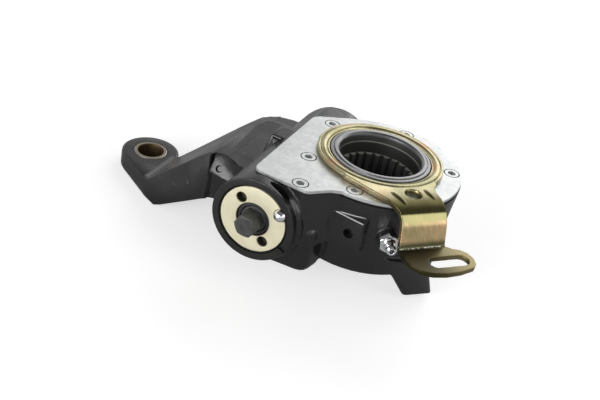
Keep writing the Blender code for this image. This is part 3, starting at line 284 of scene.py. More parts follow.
def offset(points, distance):
    """Moves an outline that runs anticlockwise outwards by a distance."""
    out = []
    for i, corner in enumerate(points):
        here = Vector(corner)
        before = (here - Vector(points[i - 1])).normalized()
        after = (Vector(points[(i + 1) % len(points)]) - here).normalized()
        side = Vector((before.y, -before.x))
        normal = (side + Vector((after.y, -after.x))).normalized()
        out.append(tuple(here + normal * distance / max(0.4, normal.dot(side))))
    return out


def arc(cx, cy, radius, first, last, count):
    """Points on an arc between two angles in degrees."""
    turns = [math.radians(first + (last - first) * i / (count - 1)) for i in range(count)]
    return [(cx + radius * math.cos(a), cy + radius * math.sin(a)) for a in turns]


def turned(profile, steps, where=Matrix()):
    """A closed outline of (radius, height) points turned about +Z."""
    bm = bmesh.new()
    rows = []
    for k in range(steps):
        a = math.tau * k / steps
        rows.append([bm.verts.new(Vector((r * math.cos(a), r * math.sin(a), h)) * MM) for r, h in profile])
    count = len(profile)
    for here, after in zip(rows, rows[1:] + rows[:1]):
        for i in range(count):
            j = (i + 1) % count
            if profile[i][0] > 0 or profile[j][0] > 0:
                bm.faces.new((here[i], here[j], after[j], after[i]))
    bmesh.ops.remove_doubles(bm, verts=bm.verts, dist=1e-7)
    bmesh.ops.transform(bm, matrix=where, verts=bm.verts)
    return bm


def raised_shape(outline, low, high, holes=(), where=Matrix()):
    """An outline of (x, y) points, with holes, raised from one height to another."""
    bm = bmesh.new()
    edges = []
    for loop in (outline, *holes):
        verts = [bm.verts.new(Vector((x, y, low)) * MM) for x, y in loop]
        edges += [bm.edges.new(pair) for pair in zip(verts, verts[1:] + verts[:1])]
    filled = bmesh.ops.triangle_fill(bm, edges=edges, use_beauty=True, use_dissolve=not holes)
    faces = [item for item in filled["geom"] if isinstance(item, bmesh.types.BMFace)]
    lifted = bmesh.ops.extrude_face_region(bm, geom=faces)
    verts = [item for item in lifted["geom"] if isinstance(item, bmesh.types.BMVert)]
    bmesh.ops.translate(bm, vec=(0, 0, (high - low) * MM), verts=verts)
    bmesh.ops.transform(bm, matrix=where, verts=bm.verts)
    return bm


def rod(radius, low, high, steps, where=Matrix()):
    """A plain cylinder about +Z."""
    return turned([(0, low), (radius, low), (radius, high), (0, high)], steps, where)


def slab(x, y, low, high, where=Matrix()):
    """A block between two values of x, of y and of height."""
    return raised_shape([(x[0], y[0]), (x[1], y[0]), (x[1], y[1]), (x[0], y[1])], low, high, (), where)


def globe(radius, columns, rows, where):
    bm = bmesh.new()
    bmesh.ops.create_uvsphere(bm, u_segments=columns, v_segments=rows, radius=radius * MM, matrix=where)
    return bm


def lofted(rings, joined=False):
    """Rings of equal count bridged in order, with flat ends or joined to one another."""
    bm = bmesh.new()
    rows = [[bm.verts.new(Vector(p) * MM) for p in ring] for ring in rings]
    if joined:
        rows.append(rows[0])
    for lower, upper in zip(rows, rows[1:]):
        for i in range(len(lower)):
            j = (i + 1) % len(lower)
            bm.faces.new((lower[i], lower[j], upper[j], upper[i]))
    if not joined:
        bm.faces.new(rows[0][::-1])
        bm.faces.new(rows[-1])
    return bm


def merged(*parts):
    """Several bmeshes in one, as loose shells."""
    whole = bmesh.new()
    for part in parts:
        mesh = bpy.data.meshes.new("part")
        part.to_mesh(mesh)
        part.free()
        whole.from_mesh(mesh)
        bpy.data.meshes.remove(mesh)
    return whole


def sliced(bm, place, normal, **settings):
    """Cuts a bmesh along a plane, and closes the cut where one side is cleared away."""
    everything = bm.verts[:] + bm.edges[:] + bm.faces[:]
    bmesh.ops.bisect_plane(bm, geom=everything, plane_co=Vector(place) * MM, plane_no=normal, **settings)
    if "clear_inner" in settings or "clear_outer" in settings:
        bmesh.ops.holes_fill(bm, edges=[edge for edge in bm.edges if len(edge.link_faces) == 1])
    return bm


def placed(name, data):
    """A mesh, lamp or camera as an object of the scene."""
    obj = bpy.data.objects.new(name, data)
    bpy.context.scene.collection.objects.link(obj)
    return obj


def made(name, bm, finish, crease=None):
    """A bmesh as an object of the scene, with its faces turned outwards and its finish."""
    bmesh.ops.recalc_face_normals(bm, faces=bm.faces)
    mesh = bpy.data.meshes.new(name)
    bm.to_mesh(mesh)
    bm.free()
    mesh.shade_smooth()
    if crease is not None:
        mesh.set_sharp_from_angle(angle=math.radians(crease))
    mesh.materials.append(finish)
    return placed(name, mesh)


def modify(obj, kind, **settings):
    mod = obj.modifiers.new(kind.lower(), kind)
    for name, value in settings.items():
        setattr(mod, name, value)


def settle(obj, crease=None):
    """Turns an object with its modifiers into a plain mesh, and removes the cutters it used."""
    tools = [mod.object for mod in obj.modifiers if mod.type == "BOOLEAN"]
    done = bpy.data.meshes.new_from_object(obj.evaluated_get(bpy.context.evaluated_depsgraph_get()))
    obj.modifiers.clear()
    obj.data = done
    for tool in tools:
        bpy.data.objects.remove(tool, do_unlink=True)
    done.shade_smooth()
    if crease is not None:
        done.set_sharp_from_angle(angle=math.radians(crease))


def shaped(obj, tools, operation="DIFFERENCE"):
    """Cuts, joins or trims an object by a list of bmeshes, in order."""
    for tool in tools:
        form = made("tool", tool, obj.data.materials[0])
        form.hide_render = True
        modify(obj, "BOOLEAN", operation=operation, solver="MANIFOLD", object=form)


def cad_copy(node):
    """A node's mesh as one skin, with its loose triangles merged."""
    bm = bmesh.new()
    bm.from_mesh(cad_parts[node].data)
    bmesh.ops.remove_doubles(bm, verts=bm.verts, dist=1e-5)
    return bm


def plate_outline(count=90):
    """The cover plate from above: a round end over the hub and a square tongue over the gears."""
    hub = arc(0.0, HUB_CENTRE_Y, 51.8, -94.0, 126.6, count)
    return eased(TONGUE + hub, TONGUE_RADII + [0] * count, 9)


def lock_ball_pocket():
    """The round pocket for the lock ball, half in the casting and half in the cover."""
    return rod(BALL_POCKET_R, TUNNEL_FRONT - 3, BALL_POCKET_FLOOR, 40, beside_worm(BALL_CIRCLE_R, BALL_ANGLE))


def housing_plugs():
    """Fills the machined openings, so that the rough casting can be rounded before they are cut again."""
    seat = offset(plate_outline(30), -0.6)
    return [
        rod(42.6, -26.2, 27, 64),
        turned([(0, 18), (HUB_R - 0.5, 18), (HUB_R + 0.25, 27), (0, 27)], 96, at(0, HUB_CENTRE_Y, 0)),
        raised_shape(seat, 10, 27),
        rod(23, TUNNEL_FRONT, 44, 64, on_worm()),
        rod(14, *EYE_Z, 48, at(EYE_X, 0, 0)),
        rod(5.2, -8, 1.0, 24, on_nipple()),
    ]


def housing_openings():
    """Machined faces and bores, cut crisp into the rough casting."""
    hub = [(0, -60), (35.0, -60), (35.0, -8.4), (39.6, -8.4), (39.6, 13.7), (HUB_OPENING_R, 13.7),
           (HUB_OPENING_R, 40), (0, 40)]
    tunnel = [
        (0, -80), (22.4, -80), (22.2, TUNNEL_FRONT + 1.2), (21.24, TUNNEL_FRONT + 2.2), (21.24, -62.6),
        (17.5, -62.6), (17.5, -42.4), (14.2, -42.4), (14.2, 37), (8.3, 37), (8.3, 43), (0, 43),
    ]
    eye = [(0, -50), (12.6, -50), (11.75, EYE_Z[0] + 0.8), (11.75, EYE_Z[1] - 0.8), (12.6, -27), (0, -27)]
    openings = [
        slab((-57, 60), (-67.5, 60), SEAT_Z, 40),
        turned(hub, 160),
        turned(tunnel, 128, on_worm()),
        slab((-59.4, 10.8), (-51.0, -44.0), 13.4, 19.0),
        slab((-6.2, 10.8), (-44.8, -35.0), 14.0, 20.0),
        turned(eye, 96, at(EYE_X, 0, 0)),
        lock_ball_pocket(),
        rod(4.3, -6.6, 8, 48, on_nipple()),
    ]
    return openings + [rod(SCREW_HOLE_R, 19.7, 30, 24, at(x, y, 0)) for x, y in SCREW_SPOTS]


def chamfered(bm, width):
    """Rounds a bmesh's edges that are sharper than 30 degrees."""
    bmesh.ops.recalc_face_normals(bm, faces=bm.faces)
    sharp = [edge for edge in bm.edges if edge.calc_face_angle(0) > math.radians(30)]
    bmesh.ops.bevel(bm, geom=sharp, offset=width * MM, segments=3, profile=0.5, affect="EDGES")
    return bm


def sand_forms():
    """Forms merged before the rounding: a panel on the arm's root, its shoulder, and a web under the hub."""
    panel = [(-91.0, 4.0), (-91.6, 24.0), (-90.4, 29.0), (-86.8, 31.6), (-82.0, 32.2), (-60.0, 31.4),
             (-60.0, 4.0)]
    shoulder = [(-97.0, -37.2), (-76.0, -38.4), (-66.0, -38.4), (-66.0, -23.0), (-97.0, -23.0)]
    web = [(-13.0, -28.6), (-13.0, -20.0), (0.0, -20.0), (-1.6, -24.6), (-8.4, -25.8)]
    return [
        lofted([[(x, y, 5.0) for x, y in panel], [(x, y, 6.6 + 0.045 * (y - 4.0)) for x, y in panel]]),
        raised_shape(shoulder, -10.0, 6.9),
        lofted([[(x, y, z) for x, z in web] for y in (-48.2, -38.0)]),
    ]


def crisp_arm():
    """The cranked lever through its cross sections."""
    # x, near edge low, middle and high, far edge, underside, top
    sections = [
        (-170.0, -16.8, -17.4, -16.4, 8.0, -44.5, -32.5), (-145.5, -32.6, -33.2, -32.0, 5.0, -44.5, -32.5),
        (-141.0, -35.4, -35.9, -33.6, 3.0, -44.6, -32.5), (-137.5, -37.3, -37.2, -34.2, 3.5, -44.6, -29.4),
        (-129.8, -41.0, -38.4, -33.8, 7.0, -44.7, -22.2), (-125.5, -40.7, -38.0, -33.6, 9.0, -43.0, -18.2),
        (-105.0, -38.4, -36.5, -33.3, 18.5, -31.2, 0.5), (-99.0, -37.6, -36.3, -33.3, 23.0, -27.8, 5.4),
        (-95.0, -37.4, -36.3, -33.4, 34.0, -25.8, 6.9), (-86.0, -37.8, -37.0, -35.6, 44.0, -23.8, 7.1),
    ]
    rings = []
    for x, near_low, near_middle, near_high, far, low, high in sections:
        skew = 0.2 * max(0.0, 1 - abs(x + 137.0) / 26)
        middle = low + 0.5 * (high - low)
        corners = [(near_low, low), (far - 1, low), (far, high), (near_high, high), (near_middle, middle)]
        ring = eased(corners, [0.8, 2.0, 2.0, 1.0, 0], 4)
        lean = [skew * (y + 31.0) * (0.5 + 0.5 * (z - low) / (high - low)) for y, z in ring]
        rings.append([(x + more, y, z) for more, (y, z) in zip(lean, ring)])
    return lofted(rings)


def crisp_forms():
    """Joined after the rounding, so that they stay sharp: arm, eye, tunnel's rim and step, pad and boss."""
    rim = [(15.0, TUNNEL_FRONT), (26.5, TUNNEL_FRONT), (26.5, -66.0), (25.0, -62.0), (15.0, -62.0)]
    step = [(15.0, -69.3), (26.9, -69.3), (27.0, -60.0), (24.0, -52.0), (15.0, -52.0)]
    eye = eased([(8.0, EYE_Z[0]), (19.0, EYE_Z[0]), (19.6, -38.4), (19.4, EYE_Z[1]), (8.0, EYE_Z[1])],
                [0, 1.0, 0, 1.4, 0])
    pad_front = [(-22.3, -10.6), (-9.7, -7.4), (3.6, -5.6), (14.4, -5.9), (14.1, 12.5), (-5.0, 13.6),
                 (-22.3, 12.0)]
    pad_back = [(-22.3, -11.6), (-9.7, -8.6), (3.6, -6.8), (15.6, -7.4), (16.2, 16.6), (-6.4, 13.8),
                (-22.3, 12.2)]
    pad = lofted([[(x, -46.0, z) for x, z in pad_back], [(x, -49.0, z) for x, z in pad_back],
                  [(x, -53.2 - 0.05 * x, z) for x, z in pad_front]])
    block = lofted([[(-71.0, -15.6, 10.0), (-56.0, -15.6, 10.0), (-56.0, 5.0, 10.0), (-71.0, 5.0, 10.0)],
                    [(-68.4, -13.2, 23.0), (-58.0, -13.0, 23.0), (-58.0, 1.6, 23.0), (-68.4, 1.2, 23.0)]])
    return [
        crisp_arm(), turned(eye, 128, at(EYE_X, 0, 0)),
        turned(eased(rim, 0.6), 128, on_worm() @ at(0, 0.25, 0)),
        turned(eased(step, 0.6), 128, on_worm() @ at(1.2, 1.0, 0)),
        chamfered(pad, 0.3), chamfered(block, 0.7),
    ]


def hollows():
    """The mould's hollows: beside the arm's root, behind the rim, round the nipple, in pad and boss."""
    wall = [(-96.4, -46.0), (-96.2, -36.6), (-95.6, -36.0), (-70.0, -37.2), (-70.0, -46.0)]
    under = [(-95.4, -46.0), (-95.2, -35.4), (-94.6, -34.8), (-70.0, -36.0), (-70.0, -46.0)]
    half_moon = [(-96.2, -44.0), (-96.0, -34.6), (-95.2, -32.8), (-92.6, -31.5), (-88.2, -31.2),
                 (-81.9, -33.4), (-75.0, -38.1), (-73.0, -44.0)]
    scoop = sliced(raised_shape(half_moon, -7.2, 12.0), (0, -36.6, -6.7), (0, -0.92, 0.42), clear_inner=True)
    dimple = turned([(0, -1.6), (1.7, -1.6), (2.4, 0), (2.4, 6), (0, 6)], 24,
                    at(-90.3, -34.7, -2.5) @ spun(66, "X"))
    notch = globe(1.0, 32, 20, at(-34.6, -70.4, 22.8) @ spun(24, "Y") @ Matrix.Diagonal((7.4, 2.8, 4.4, 1.0)))
    spot_face = turned([(0, 0.6), (7.9, 0.6), (8.6, 4.0), (9.4, 12.0), (0, 12.0)], 48, on_nipple())
    stake = slab((20.6, 28.0), (-1.1, 1.1), -2.0, 1.4, on_worm(TUNNEL_FRONT) @ spun(27, "Z"))
    blind_hole = rod(3.1, 0, 8.0, 32, at(6.1, -47.5, 2.7) @ spun(90, "X"))
    slot = slab((-67.0, -61.4), (-15.0, -12.0), 20.6, 21.9)
    return [raised_shape(wall, -26.0, 12.0), raised_shape(under, -26.0, -6.9), scoop, dimple, notch,
            spot_face, stake, blind_hole, slot]


casting = made("housing_casting", merged(cad_copy("housing"), *housing_plugs(), *sand_forms()), black_paint())
modify(casting, "REMESH", mode="VOXEL", voxel_size=SAND_VOXEL * MM, use_smooth_shade=True)
modify(casting, "SMOOTH", factor=0.5, iterations=3)
shaped(casting, crisp_forms(), "UNION")
shaped(casting, hollows() + housing_openings())
settle(casting, 38)
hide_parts("housing")
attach(casting, "body")


# Bush in the lever's eye, where the brake chamber's clevis pin turns.
# A wrapped steel shell with a brown bearing layer inside, pressed in so that its rim shows on both faces.

def bush_metal():
    """Light rolled steel on the rim, oily brown bearing metal in the bore."""
    metal = Finish("steel_backed_bush", (0.5, 0.48, 0.45), 0.35, 0.9)
    place = metal.spot(shift=(-EYE_X * MM, 0, 0))
    radius = metal.from_axis(place)
    bore = 1 - metal.between(radius, 0.00925, 0.0097)
    mottle = metal.grain(place, 420, 4.0)
    turning = metal.grain(metal.spot(scale=(0.2, 0.2, 6)), 900, 2.0)
    seam = metal.between(radius, 0.0100, 0.0102) * (1 - metal.between(radius, 0.0104, 0.0106))
    rim = metal.blend(mottle, (0.30, 0.265, 0.21), (0.52, 0.47, 0.39))
    metal.feed(
        Base_Color=metal.blend(bore, metal.blend(seam, rim, (0.09, 0.07, 0.045)),
                               metal.blend(mottle, (0.06, 0.044, 0.022), (0.20, 0.14, 0.075))),
        Roughness=0.32 + 0.15 * mottle + 0.12 * bore,
        Normal=metal.raised(mottle * 0.6 + turning * 0.4, 0.03, 0.4),
    )
    return metal.material


bush_profile = eased([(9.0, -44.9), (11.45, -44.9), (11.45, -32.3), (9.0, -32.3)], 0.55)
bush = made("eye_bush", turned(bush_profile, 96, at(EYE_X, 0, 0)), bush_metal(), 40)
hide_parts("arm_bush")
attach(bush, "body")


# Worm wheel: the ring of steel that grips the camshaft, with a collar that stands out above the cover.
# Its counterbore and its ring of spline teeth are painted dark as shade, darker lower down; its collar is
# turned bright.

COLLAR_R = 31.75
COLLAR_Z = (-28.0, 31.3)
BORE_R = 26.15
SPLINE_Z = (-20.0, 17.3)
SPLINES = 26
SPLINE_OUTLINE = [(0.0, 22.6), (0.05, 22.75), (0.09, 23.3), (0.14, 24.5), (0.18, 24.9), (0.28, 24.9),
                  (0.38, 24.9), (0.42, 24.5), (0.47, 23.3), (0.51, 22.75), (0.56, 22.6), (0.78, 22.6)]
WHEEL_TEETH = 28
TOOTH_TWIST = 0.00325
TOOTH_STATIONS = (-8, -5, -2.5, 0, 2.5, 5, 8)


def wheel_steel():
    """Turned steel: fine rings on the collar's face, painted shade inside the bore."""
    steel = Finish("turned_wheel_steel", (0.5, 0.5, 0.5), 0.3, 1.0)
    place = steel.spot()
    height = steel.along("Z", place)
    radius = steel.from_axis(place)
    lines = steel.grain(steel.node("ShaderNodeCombineXYZ", None, {0: radius, 1: height}), 2600, 2.0, 0.6)
    mottle = steel.grain(place, 130, 3.0)
    # Painted shade: the bore below the rim is painted near black and less metallic, darker towards its lower
    # wall; the spline tops and a thin band stay lighter.
    inside = 1 - steel.between(radius, 0.0264, 0.0272)
    below_rim = 1 - steel.between(height, 0.0284, 0.0303)
    painted_bore_shade = inside * below_rim
    band = steel.between(height, 0.0242, 0.0246) * (1 - steel.between(height, 0.0250, 0.0254))
    over_splines = steel.between(height, 0.0165, 0.0172)
    deeper_bore_shade = 1 - steel.between(height, 0.0235, 0.0246)
    wall = steel.blend(mottle * (1 - 0.8 * deeper_bore_shade), (0.011, 0.0115, 0.0105), (0.036, 0.037, 0.032))
    banded = steel.blend(band, wall, (0.2, 0.2, 0.17))
    tips = steel.between(height, 0.01715, 0.01725) * (1 - steel.between(radius, 0.0250, 0.0256))
    walls = steel.blend(over_splines, (0.05, 0.052, 0.05), banded)
    dark = steel.blend(tips * inside, walls, (0.30, 0.30, 0.275))
    bright = steel.blend(mottle * 0.4 + lines * 0.6, (0.13, 0.13, 0.132), (0.34, 0.34, 0.345))
    steel.feed(
        Base_Color=steel.blend(painted_bore_shade, bright, dark),
        Roughness=0.26 + 0.16 * mottle + 0.1 * lines + 0.12 * painted_bore_shade,
        Metallic=1 - 0.9 * painted_bore_shade,
        Normal=steel.raised(lines, 0.02, 0.5),
    )
    return steel.material


def spline_ring(z, ease=0.0):
    """The bore's outline through the splines: each point has its share of a tooth's turn and its radius."""
    points = []
    for tooth in range(SPLINES):
        for share, r in SPLINE_OUTLINE:
            a = math.tau * (tooth + share) / SPLINES
            points.append(((r + ease) * math.cos(a), (r + ease) * math.sin(a), z))
    return points


def ring_of(radius, count, cx=0.0, cy=0.0):
    return arc(cx, cy, radius, 0, 360 - 360 / count, count)


def round_ring(radius, z):
    return [(x, y, z) for x, y in ring_of(radius, SPLINES * len(SPLINE_OUTLINE))]


def wheel_body():
    """Collars and bore in one skin: down the splined bore and up the outside."""
    low, high = COLLAR_Z
    splines_low, splines_high = SPLINE_Z
    bore = [
        (BORE_R + 1.3, high), (BORE_R + 1.1, high - 0.1), (BORE_R + 0.1, high - 1.1), (BORE_R, high - 1.4),
        (BORE_R, splines_high + 0.5), (BORE_R - 0.1, splines_high + 0.1), (BORE_R - 0.5, splines_high),
    ]
    outside = [
        (BORE_R - 0.3, splines_low), (BORE_R, splines_low - 0.3), (BORE_R, low + 1.0), (BORE_R + 1.2, low),
        (COLLAR_R - 1.0, low), (COLLAR_R - 0.2, low + 0.4), (COLLAR_R, low + 1.0), (COLLAR_R, high - 1.5),
        (COLLAR_R - 0.15, high - 1.0), (COLLAR_R - 0.5, high - 0.7), (29.9, high - 0.6),
        (29.7, high - 1.0), (29.4, high - 1.0), (29.2, high - 0.2), (28.9, high),
    ]
    rings = [round_ring(r, z) for r, z in bore]
    rings += [spline_ring(splines_high, 0.25), spline_ring(splines_high - 0.3)]
    rings += [spline_ring(splines_low + 0.3), spline_ring(splines_low, 0.25)]
    rings += [round_ring(r, z) for r, z in outside]
    return lofted(rings, joined=True)


def wheel_teeth():
    """The hobbed band with its throat, hidden in the housing: outside up, inside down."""
    def tooth_ring(z, root, pitch, tip):
        points = []
        for tooth in range(WHEEL_TEETH):
            middle = math.pi + math.pi / WHEEL_TEETH + math.tau * tooth / WHEEL_TEETH + TOOTH_TWIST * z
            for side, half, r in ((-1, 0.0885, root), (-1, 0.0495, pitch), (-1, 0.0215, tip),
                                  (1, 0.0215, tip), (1, 0.0495, pitch), (1, 0.0885, root)):
                a = middle + side * half
                points.append((r * math.cos(a), r * math.sin(a), z))
        return points

    rings = [tooth_ring(z, 32.15, 35.0, 37.15 + 1.2 * (z / 8.0) ** 2) for z in TOOTH_STATIONS]
    rings += [tooth_ring(z, 30.0, 30.0, 30.0) for z in (TOOTH_STATIONS[-1], TOOTH_STATIONS[0])]
    return lofted(rings, joined=True)


wheel = made("camshaft_wheel", merged(wheel_body(), wheel_teeth()), wheel_steel(), 24)
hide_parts("worm_wheel")
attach(wheel, "wheel")


# Worm shaft: its black hexagon is what a spanner turns to set the brake by hand.
# Shaft, hexagon and thread are one forging, ground and black phosphated; the end is chamfered in the lathe.

HEX_TIP = -85.0
HEX_ROOT = -73.4
HEX_FLATS = 12.6
HEX_TURN = 2


def black_phosphate():
    """A dull charcoal coat with a fine crystalline grain, worn lighter in touches."""
    coat = Finish("black_phosphate_coat", (0.03, 0.03, 0.031), 0.45, 0.15)
    place = coat.spot()
    crystal = coat.grain(place, 2400, 2.0)
    rub = coat.grain(place, 260, 3.0)
    coat.feed(
        Base_Color=coat.blend(coat.between(rub, 0.35, 0.7), (0.036, 0.037, 0.036), (0.064, 0.065, 0.062)),
        Roughness=0.4 + 0.12 * crystal,
        Normal=coat.raised(crystal * 0.5 + rub * 0.5, 0.006, 0.5),
    )
    return coat.material


PHOSPHATE = black_phosphate()


def taken(obj):
    """An object's mesh as a bmesh; the object goes."""
    bm = bmesh.new()
    bm.from_mesh(obj.data)
    bpy.data.objects.remove(obj, do_unlink=True)
    return bm


def corner_reach(flats):
    """How far a hexagon's corners lie from its middle, by its width across flats."""
    return flats / 2 / math.cos(math.radians(30))


def hexagon(flats, turn):
    """A hexagon by its width across flats, with its first corner at an angle."""
    return arc(0, 0, corner_reach(flats), turn, turn + 300, 6)


def hexagon_end():
    """A hexagonal bar trimmed by a turned shape, which gives the round end and its curved chamfer lines."""
    top = HEX_ROOT + 0.3
    prism = raised_shape(hexagon(HEX_FLATS, HEX_TURN), HEX_TIP, top, (), on_worm())
    bar = made("hexagon_bar", prism, PHOSPHATE)
    corner = corner_reach(HEX_FLATS)
    trim = [(0, HEX_TIP), (5.75, HEX_TIP), (5.95, HEX_TIP + 0.1), (corner - 0.1, HEX_TIP + 0.95),
            (corner - 0.04, HEX_TIP + 1.4), (corner - 0.04, top), (0, top)]
    shaped(bar, [turned(trim, 144, on_worm())], "INTERSECT")
    settle(bar)
    fillet = turned([(0, HEX_ROOT - 0.35), (6.15, HEX_ROOT - 0.35), (6.5, top), (0, top)], 6,
                    on_worm() @ spun(HEX_TURN + 30, "Z") @ Matrix.Diagonal((1.155, 1.155, 1, 1)))
    return merged(taken(bar), fillet)


shaft_skin = sliced(cad_copy("worm_screw"), (0, HEX_ROOT + 1.2, 0), (0, -1, 0), clear_outer=True)
shoulder = turned(eased([(0, -73.5), (8.0, -73.5), (8.0, -71.5), (0, -71.5)], 0.4), 96, on_worm())
worm = made("worm_shaft", merged(shaft_skin, shoulder, hexagon_end()), PHOSPHATE, 14)
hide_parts("worm_screw")
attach(worm, "worm")


# Bearing, clutch and springs on the worm's shaft, the rack and its notched disc, and the wheel's rings.
# Turned and hardened steel or spring wire in oil; all of it is closed in by the casting and the cover plate.

def oiled_steel(name, colour, per_metre=900):
    """Plain working steel, ground in one direction and filmed with oil."""
    steel = Finish(name, colour, 0.32, 0.95)
    place = steel.spot(scale=(1, 0.12, 1))
    ground = steel.grain(place, per_metre, 3.0)
    film = steel.grain(steel.spot(), 120, 2.0)
    dark = tuple(0.7 * c for c in colour)
    steel.feed(
        Base_Color=steel.blend(film * 0.6 + ground * 0.4, dark, colour),
        Roughness=0.24 + 0.2 * ground,
        Normal=steel.raised(ground, 0.01, 0.5),
    )
    return steel.material


def refinish(node, metal):
    """Gives a CAD node that stays as it is another finish."""
    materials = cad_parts[node].data.materials
    materials.clear()
    materials.append(metal)


inner_finishes = {
    oiled_steel("ground_bearing_steel", (0.46, 0.47, 0.49)): (
        "fixed_race", "turning_race", "clutch_hub", "clutch_gear", "rack", "control_disc",
        "upper_bearing_ring", "front_spring_seat", "rear_spring_seat",
    ),
    oiled_steel("drawn_spring_wire", (0.28, 0.28, 0.30), 1500): ("one_way_spring", "thrust_spring"),
    oiled_steel("bearing_bronze", (0.45, 0.30, 0.16), 700): ("roller_cage", "lower_bearing_ring"),
}
for metal, nodes in inner_finishes.items():
    for node in nodes:
        refinish(node, metal)


# Seals: lip seals round the hexagon's shaft and the wheel's collars, and the cover's round ring.
# Moulded black rubber, dull, with the fine grain that its mould leaves.

def seal_rubber():
    rubber = Finish("moulded_seal_rubber", (0.014, 0.014, 0.014), 0.6, 0.0)
    place = rubber.spot()
    grain = rubber.grain(place, 1800, 3.0)
    bloom = rubber.grain(place, 150, 2.0)
    rubber.feed(
        Base_Color=rubber.blend(bloom, (0.016, 0.016, 0.016), (0.032, 0.032, 0.033)),
        Roughness=0.48 + 0.22 * grain,
        Normal=rubber.raised(grain, 0.02, 0.5),
    )
    return rubber.material


RUBBER = seal_rubber()
shaft_lip = [(8.3, -70.65), (8.35, -73.3), (8.8, -73.7), (9.3, -73.7), (9.5, -73.3), (10.1, -73.3),
             (10.45, -72.9), (10.55, -72.2), (10.55, -66.3), (8.9, -66.3), (8.9, -69.9)]
collar_lip = [(32.05, -25.6), (34.7, -25.9), (34.7, -20.0), (32.55, -20.0), (32.55, -22.4)]
for name, node, skin in (
    ("hexagon_seal", "shaft_seal", turned(eased(shaft_lip, 0.3, 4), 96, on_worm())),
    ("wheel_seal", "lower_seal", turned(eased(collar_lip, 0.3, 4), 144)),
):
    seal = made(name, skin, RUBBER, 40)
    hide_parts(node)
    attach(seal, "body")
for node in ("cover_o_ring", "upper_seal"):
    refinish(node, RUBBER)


# Threaded cover: screwed into the tunnel with a pin spanner in its two holes, then locked by a ball.
# A turned steel disc with a pale yellow zinc coat; the bright ball is pressed in at the cover's rim.

COVER_FACE = -74.66
PIN_CIRCLE_R = 14.7
PIN_ANGLES = (129.0, -55.0)
LOCK_BALL_R = 4.0
LOCK_BALL_Y = -74.3


def pale_zinc():
    """A creamy passivated zinc coat over fine turning marks."""
    coat = Finish("pale_yellow_zinc_coat", (0.74, 0.70, 0.54), 0.4, 0.25)
    place = coat.spot(shift=(-WORM_X * MM, 0, 0))
    radius = coat.from_axis(place, keep=(1, 0, 1))
    rings = coat.grain(coat.node("ShaderNodeCombineXYZ", None, {0: radius}), 2400, 2.0)
    cloud = coat.grain(place, 160, 3.0)
    # Painted shade: the pin holes and all that lies more than about a millimetre behind the face are painted
    # dark brown.
    painted_recess_shade = coat.between(coat.along("Y", coat.spot()), COVER_FACE * MM + 0.0004, COVER_FACE * MM + 0.0016)
    face = coat.blend(cloud, (0.64, 0.59, 0.40), (0.80, 0.76, 0.58))
    coat.feed(
        Base_Color=coat.blend(painted_recess_shade, face, (0.045, 0.04, 0.026)),
        Roughness=0.34 + 0.14 * cloud,
        Normal=coat.raised(rings, 0.012, 0.5),
    )
    return coat.material


def bright_steel():
    """Polished bearing steel with faint handling marks."""
    steel = Finish("polished_ball_steel", (0.78, 0.79, 0.80), 0.12, 1.0)
    marks = steel.grain(steel.spot(), 900, 3.0)
    steel.feed(
        Base_Color=steel.blend(marks, (0.70, 0.71, 0.73), (0.86, 0.87, 0.88)),
        Roughness=0.08 + 0.12 * marks,
        Normal=steel.raised(marks, 0.006, 0.4),
    )
    return steel.material


cover_profile = eased([
    (10.85, COVER_FACE), (20.94, COVER_FACE), (20.94, -65.95), (18.6, -65.95), (18.6, -63.5), (20.94, -63.5),
    (20.94, -62.9), (8.4, -62.9), (8.4, -65.9), (10.85, -65.9),
], 0.3, 4)
cover = made("tunnel_cover", turned(cover_profile, 160, on_worm()), pale_zinc())
pin_hole = [(0, -76), (3.7, -76), (3.7, COVER_FACE), (3.4, COVER_FACE + 0.3), (3.4, -68.7), (0, -68.0)]
pin_holes = [turned(pin_hole, 48, beside_worm(PIN_CIRCLE_R, angle)) for angle in PIN_ANGLES]
shaped(cover, pin_holes + [lock_ball_pocket()])
settle(cover, 30)
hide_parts("threaded_cover")
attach(cover, "body")

BRIGHT = bright_steel()
ball_x = WORM_X + BALL_CIRCLE_R * math.cos(math.radians(BALL_ANGLE))
ball_z = BALL_CIRCLE_R * math.sin(math.radians(BALL_ANGLE))
ball = made("locking_ball", globe(LOCK_BALL_R, 48, 32, at(ball_x, LOCK_BALL_Y, ball_z)), BRIGHT)
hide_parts("lock_ball")
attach(ball, "body")


# Gasket and cover plate: the plate closes the hub and, with its tongue, the gears above the worm.
# Pressed steel sheet with a bluish zinc coat, on a dark fibre gasket that shows as a line under its edge.

GASKET_Z = (24.7, 25.2)
PLATE_Z = (25.5, 27.3)


def plate_zinc():
    """Zinc plate with its cloudy, slightly blue spangle and a fine satin grain."""
    coat = Finish("zinc_plated_sheet", (0.6, 0.63, 0.65), 0.4, 0.85)
    place = coat.spot()
    cloud = coat.grain(place, 55, 4.0, 0.65)
    fleck = coat.grain(place, 620, 3.0, 0.6)
    spangle = coat.node("ShaderNodeTexVoronoi", {"feature": "SMOOTH_F1"}, {"Vector": place, "Scale": 330.0})
    tone = coat.between(cloud * 0.5 + fleck * 0.4 + spangle * 0.2, 0.36, 0.72)
    coat.feed(
        Base_Color=coat.blend(tone, (0.50, 0.515, 0.515), (0.66, 0.675, 0.665)),
        Roughness=0.38 + 0.14 * fleck,
        Normal=coat.raised(fleck * 0.8 + cloud * 0.2, 0.016, 0.5),
    )
    return coat.material


def gasket_fibre():
    fibre = Finish("pressed_gasket_fibre", (0.07, 0.075, 0.07), 0.85, 0.0)
    strands = fibre.grain(fibre.spot(scale=(1, 3, 1)), 900, 4.0)
    fibre.feed(
        Base_Color=fibre.blend(strands, (0.03, 0.032, 0.03), (0.12, 0.125, 0.115)),
        Roughness=0.75 + 0.2 * strands,
        Normal=fibre.raised(strands, 0.05, 0.6),
    )
    return fibre.material


